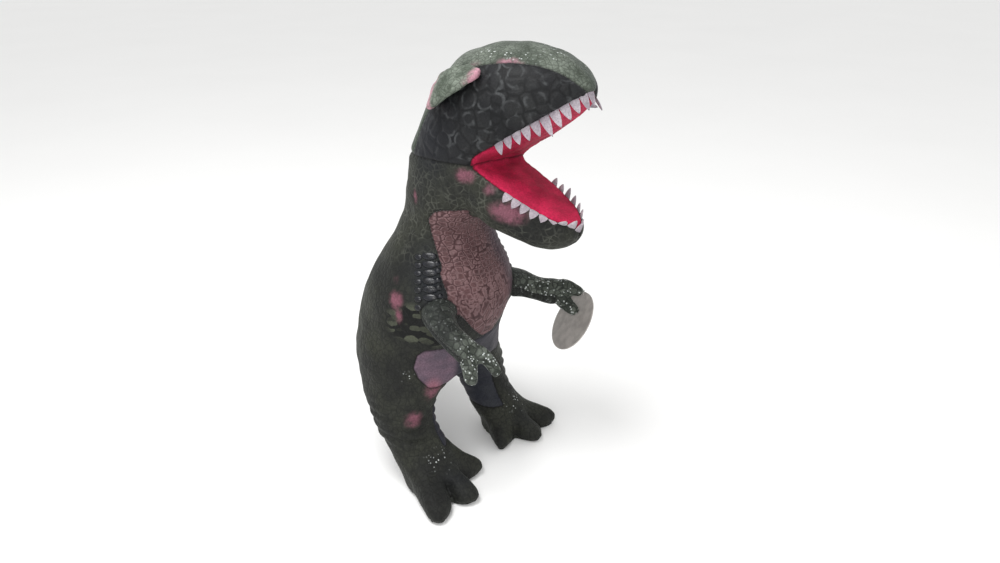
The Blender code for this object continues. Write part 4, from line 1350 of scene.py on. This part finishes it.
# Each jaw's lining, the panels that meet it along the lip, and the body that it goes with.
LIPS = {"upper": ("palate", ("right_cheek", "crown", "left_cheek"), "head"),
        "lower": ("mouth_floor", ("right_jaw", "left_jaw"), "jaw")}
UPPER_RIGHT = spaced(0.29, 0.99, 0.0098, (
    (0.0125, 25), (0.0115, 22), (0.0120, 20), (0.0130, 18), (0.0140, 16), (0.0195, 14),
    (0.0160, 12), (0.0140, 12), (0.0120, 12), (0.0130, 14), (0.0120, 16)))
UPPER_LEFT = spaced(0.26, 0.62, 0.0085, ((0.0075, 110),) * 7) + spaced(
    0.74, 0.84, 0.0085, ((0.0075, 60), (0.0120, 15)))
LOWER_RIGHT = spaced(0.36, 0.98, 0.0094, (
    (0.0090, 118), (0.0095, 118), (0.0100, 116), (0.0100, 112), (0.0095, 100),
    (0.0090, 80), (0.0090, 45), (0.0090, 20), (0.0090, 10)))
LOWER_LEFT = spaced(0.40, 0.94, 0.0086, (
    (0.0085, 5), (0.0085, 2), (0.0115, 0), (0.0100, 0), (0.0090, 0), (0.0085, 4), (0.0085, 8)))
tooth_row("right", -1, "upper", UPPER_RIGHT)
tooth_row("left", 1, "upper", UPPER_LEFT)
tooth_row("right", -1, "lower", LOWER_RIGHT)
tooth_row("left", 1, "lower", LOWER_LEFT)


# ---------------------------------------------------------------- brow flaps
def brow_flap(side_name):
    """A small padded flap, puffed between its edges and a little dented."""
    node = side_name + "_brow_flap"
    mesh = union_form(node, [node], voxel=FLAP_VOXEL)
    points = points_of(mesh)
    edges = edges_of(mesh)
    points = relax(points, edges, 5, 0.5)
    set_points(mesh, points)
    fullness = FLAP_FULLNESS + lumps_at(points, FLAP_DENTS)
    points = points + normals_of(mesh) * fullness[:, None] + FLAP_DROP
    set_points(mesh, points)
    mesh.name = node + "_pad"
    flap = add_object(node + "_pad", mesh)
    mesh.materials.clear()
    mesh.materials.append(FINISHES["flap"])
    mesh.shade_smooth()
    low, high = points.min(axis=0), points.max(axis=0)
    share = (points[:, 1] - low[1]) / (high[1] - low[1])
    tips = np.exp(-(share / 0.16) ** 2) + 0.8 * np.exp(-((share - 0.86) / 0.12) ** 2)
    nothing = np.zeros(len(points))
    for name, values in (("pink", tips), ("foil", nothing), ("far_crown", nothing)):
        store(mesh, name, values)
    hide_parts(node)
    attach(flap, "head")


for side_name, _ in SIDES:
    brow_flap(side_name)


# ---------------------------------------------------------------- raised foil scales on the flanks
def flank_scales(side_name, side, trunk):
    """A column of broad raised foil scales down the front of a flank, between smaller ones."""
    tree = BVHTree.FromPolygons([point.tolist() for point in points_of(trunk.data)],
                                [list(face.vertices) for face in trunk.data.polygons])
    places, turns, sizes = [], [], []
    for offset, breadth, height, step in FOIL_COLUMNS:
        for row in range(FOIL_ROWS):
            up_by = FOIL_TOP - FOIL_STEP * (row + step)
            down = (FOIL_TOP - up_by) / 0.060
            aim = at(side * (0.056 + 0.011 * down), 0.058 - 0.012 * down - offset, up_by)
            spot, normal, _, _ = tree.find_nearest(Vector(aim))
            normal = np.array(normal)
            up = np.array([0.0, 0.0, 1.0])
            up = unit(up - normal * (up @ normal))
            across = np.cross(up, normal)
            lean = unit(normal + FOIL_LEAN * up)
            places.append(np.array(spot) - normal * FOIL_SUNK)
            turns.append(axes_of(across, np.cross(lean, across), lean))
            sizes.append((breadth, height, FOIL_RISE))
    piece = strew(side_name + "_flank_foil_scales", DOME, FINISHES["foil"], places, turns, sizes)
    joint_blend(piece, "trunk")


for side_name, side in SIDES:
    flank_scales(side_name, side, skins["trunk_skin"])

# ---------------------------------------------------------------- stitches
sew("trunk_seam_stitches", (("belly", "right_side"), ("belly", "left_side"),
                            ("right_side", "left_side")), "trunk")
sew("head_seam_stitches", (("crown", "right_cheek"), ("crown", "left_cheek")), "head")
sew("tail_seam_stitches", (("right_tail", "left_tail"),), "tail")
for side_name, _ in SIDES:
    sew(side_name + "_arm_seam_stitches",
        ((side_name + "_arm_top", side_name + "_arm_under"),), side_name + "_arm")

# ---------------------------------------------------------------- tag and fastener
for node, finish in (("swing_tag", "card"), ("tag_fastener", "nylon")):
    materials = frame["nodes"][node].data.materials
    materials.clear()
    materials.append(FINISHES[finish])

# ---------------------------------------------------------------- skins join the frame
for skin_name, skin in skins.items():
    stood_for = list(STUFFING[skin_name])
    for label in SKINS[skin_name]:
        stood_for += PANELS[label][0]
    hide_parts(*stood_for)
    joint_blend(skin, BLENDS[skin_name])
for helper in (TOOTH, DOME, STITCH):
    bpy.data.objects.remove(helper)


# ---------------------------------------------------------------- floor, light and camera
def studio_floor():
    """A wide, plain white floor."""
    corners = [(x * FLOOR_SIZE, y * FLOOR_SIZE, 0.0) for x, y in ((-1, -1), (1, -1), (1, 1), (-1, 1))]
    floor = new_object("studio_floor", corners, [(0, 1, 2, 3)])
    material, tree, shader = start_material("matt_white_paper", 0.95)
    colour = mix(tree, fine_noise(tree, object_place(tree), 0.4), "F6F6F5", "FAFAF9")
    finish_plain(tree, shader, colour)
    floor.data.materials.append(material)


AIM = at(-0.0125, 0.0, 0.248)


def aim_at_toy(thing, place):
    """Puts a camera or a lamp in its place and turns it to the toy."""
    thing.location = place
    thing.rotation_euler = (Vector(AIM) - Vector(place)).to_track_quat("-Z", "Y").to_euler()


def studio_camera():
    camera = bpy.data.cameras.new("camera")
    camera.lens = LENS
    camera.sensor_width = 36.0
    camera.clip_start = 0.01
    stand = add_object("camera", camera)
    aim_at_toy(stand, (AIM[0] - VIEW_DISTANCE * math.sin(VIEW_AZIMUTH),
                       AIM[1] - VIEW_DISTANCE * math.cos(VIEW_AZIMUTH), VIEW_HEIGHT))
    bpy.context.scene.camera = stand


def softbox(name, place, size, power):
    light = bpy.data.lights.new(name, "AREA")
    light.shape = "DISK"
    light.size = size
    light.energy = power
    aim_at_toy(add_object(name, light), place)


def studio_light():
    world = bpy.data.worlds.new("studio")
    bpy.context.scene.world = world
    world.use_nodes = True
    background = world.node_tree.nodes["Background"]
    background.inputs["Color"].default_value = (1.0, 1.0, 1.0, 1.0)
    background.inputs["Strength"].default_value = WORLD_LIGHT
    softbox("top_softbox", at(-0.55, 0.10, 1.70), 0.7, 17.0)
    softbox("front_softbox", at(-1.20, -0.60, 1.00), 0.6, 6.0)


studio_floor()
studio_light()
studio_camera()
bpy.context.scene.view_settings.view_transform = "Standard"
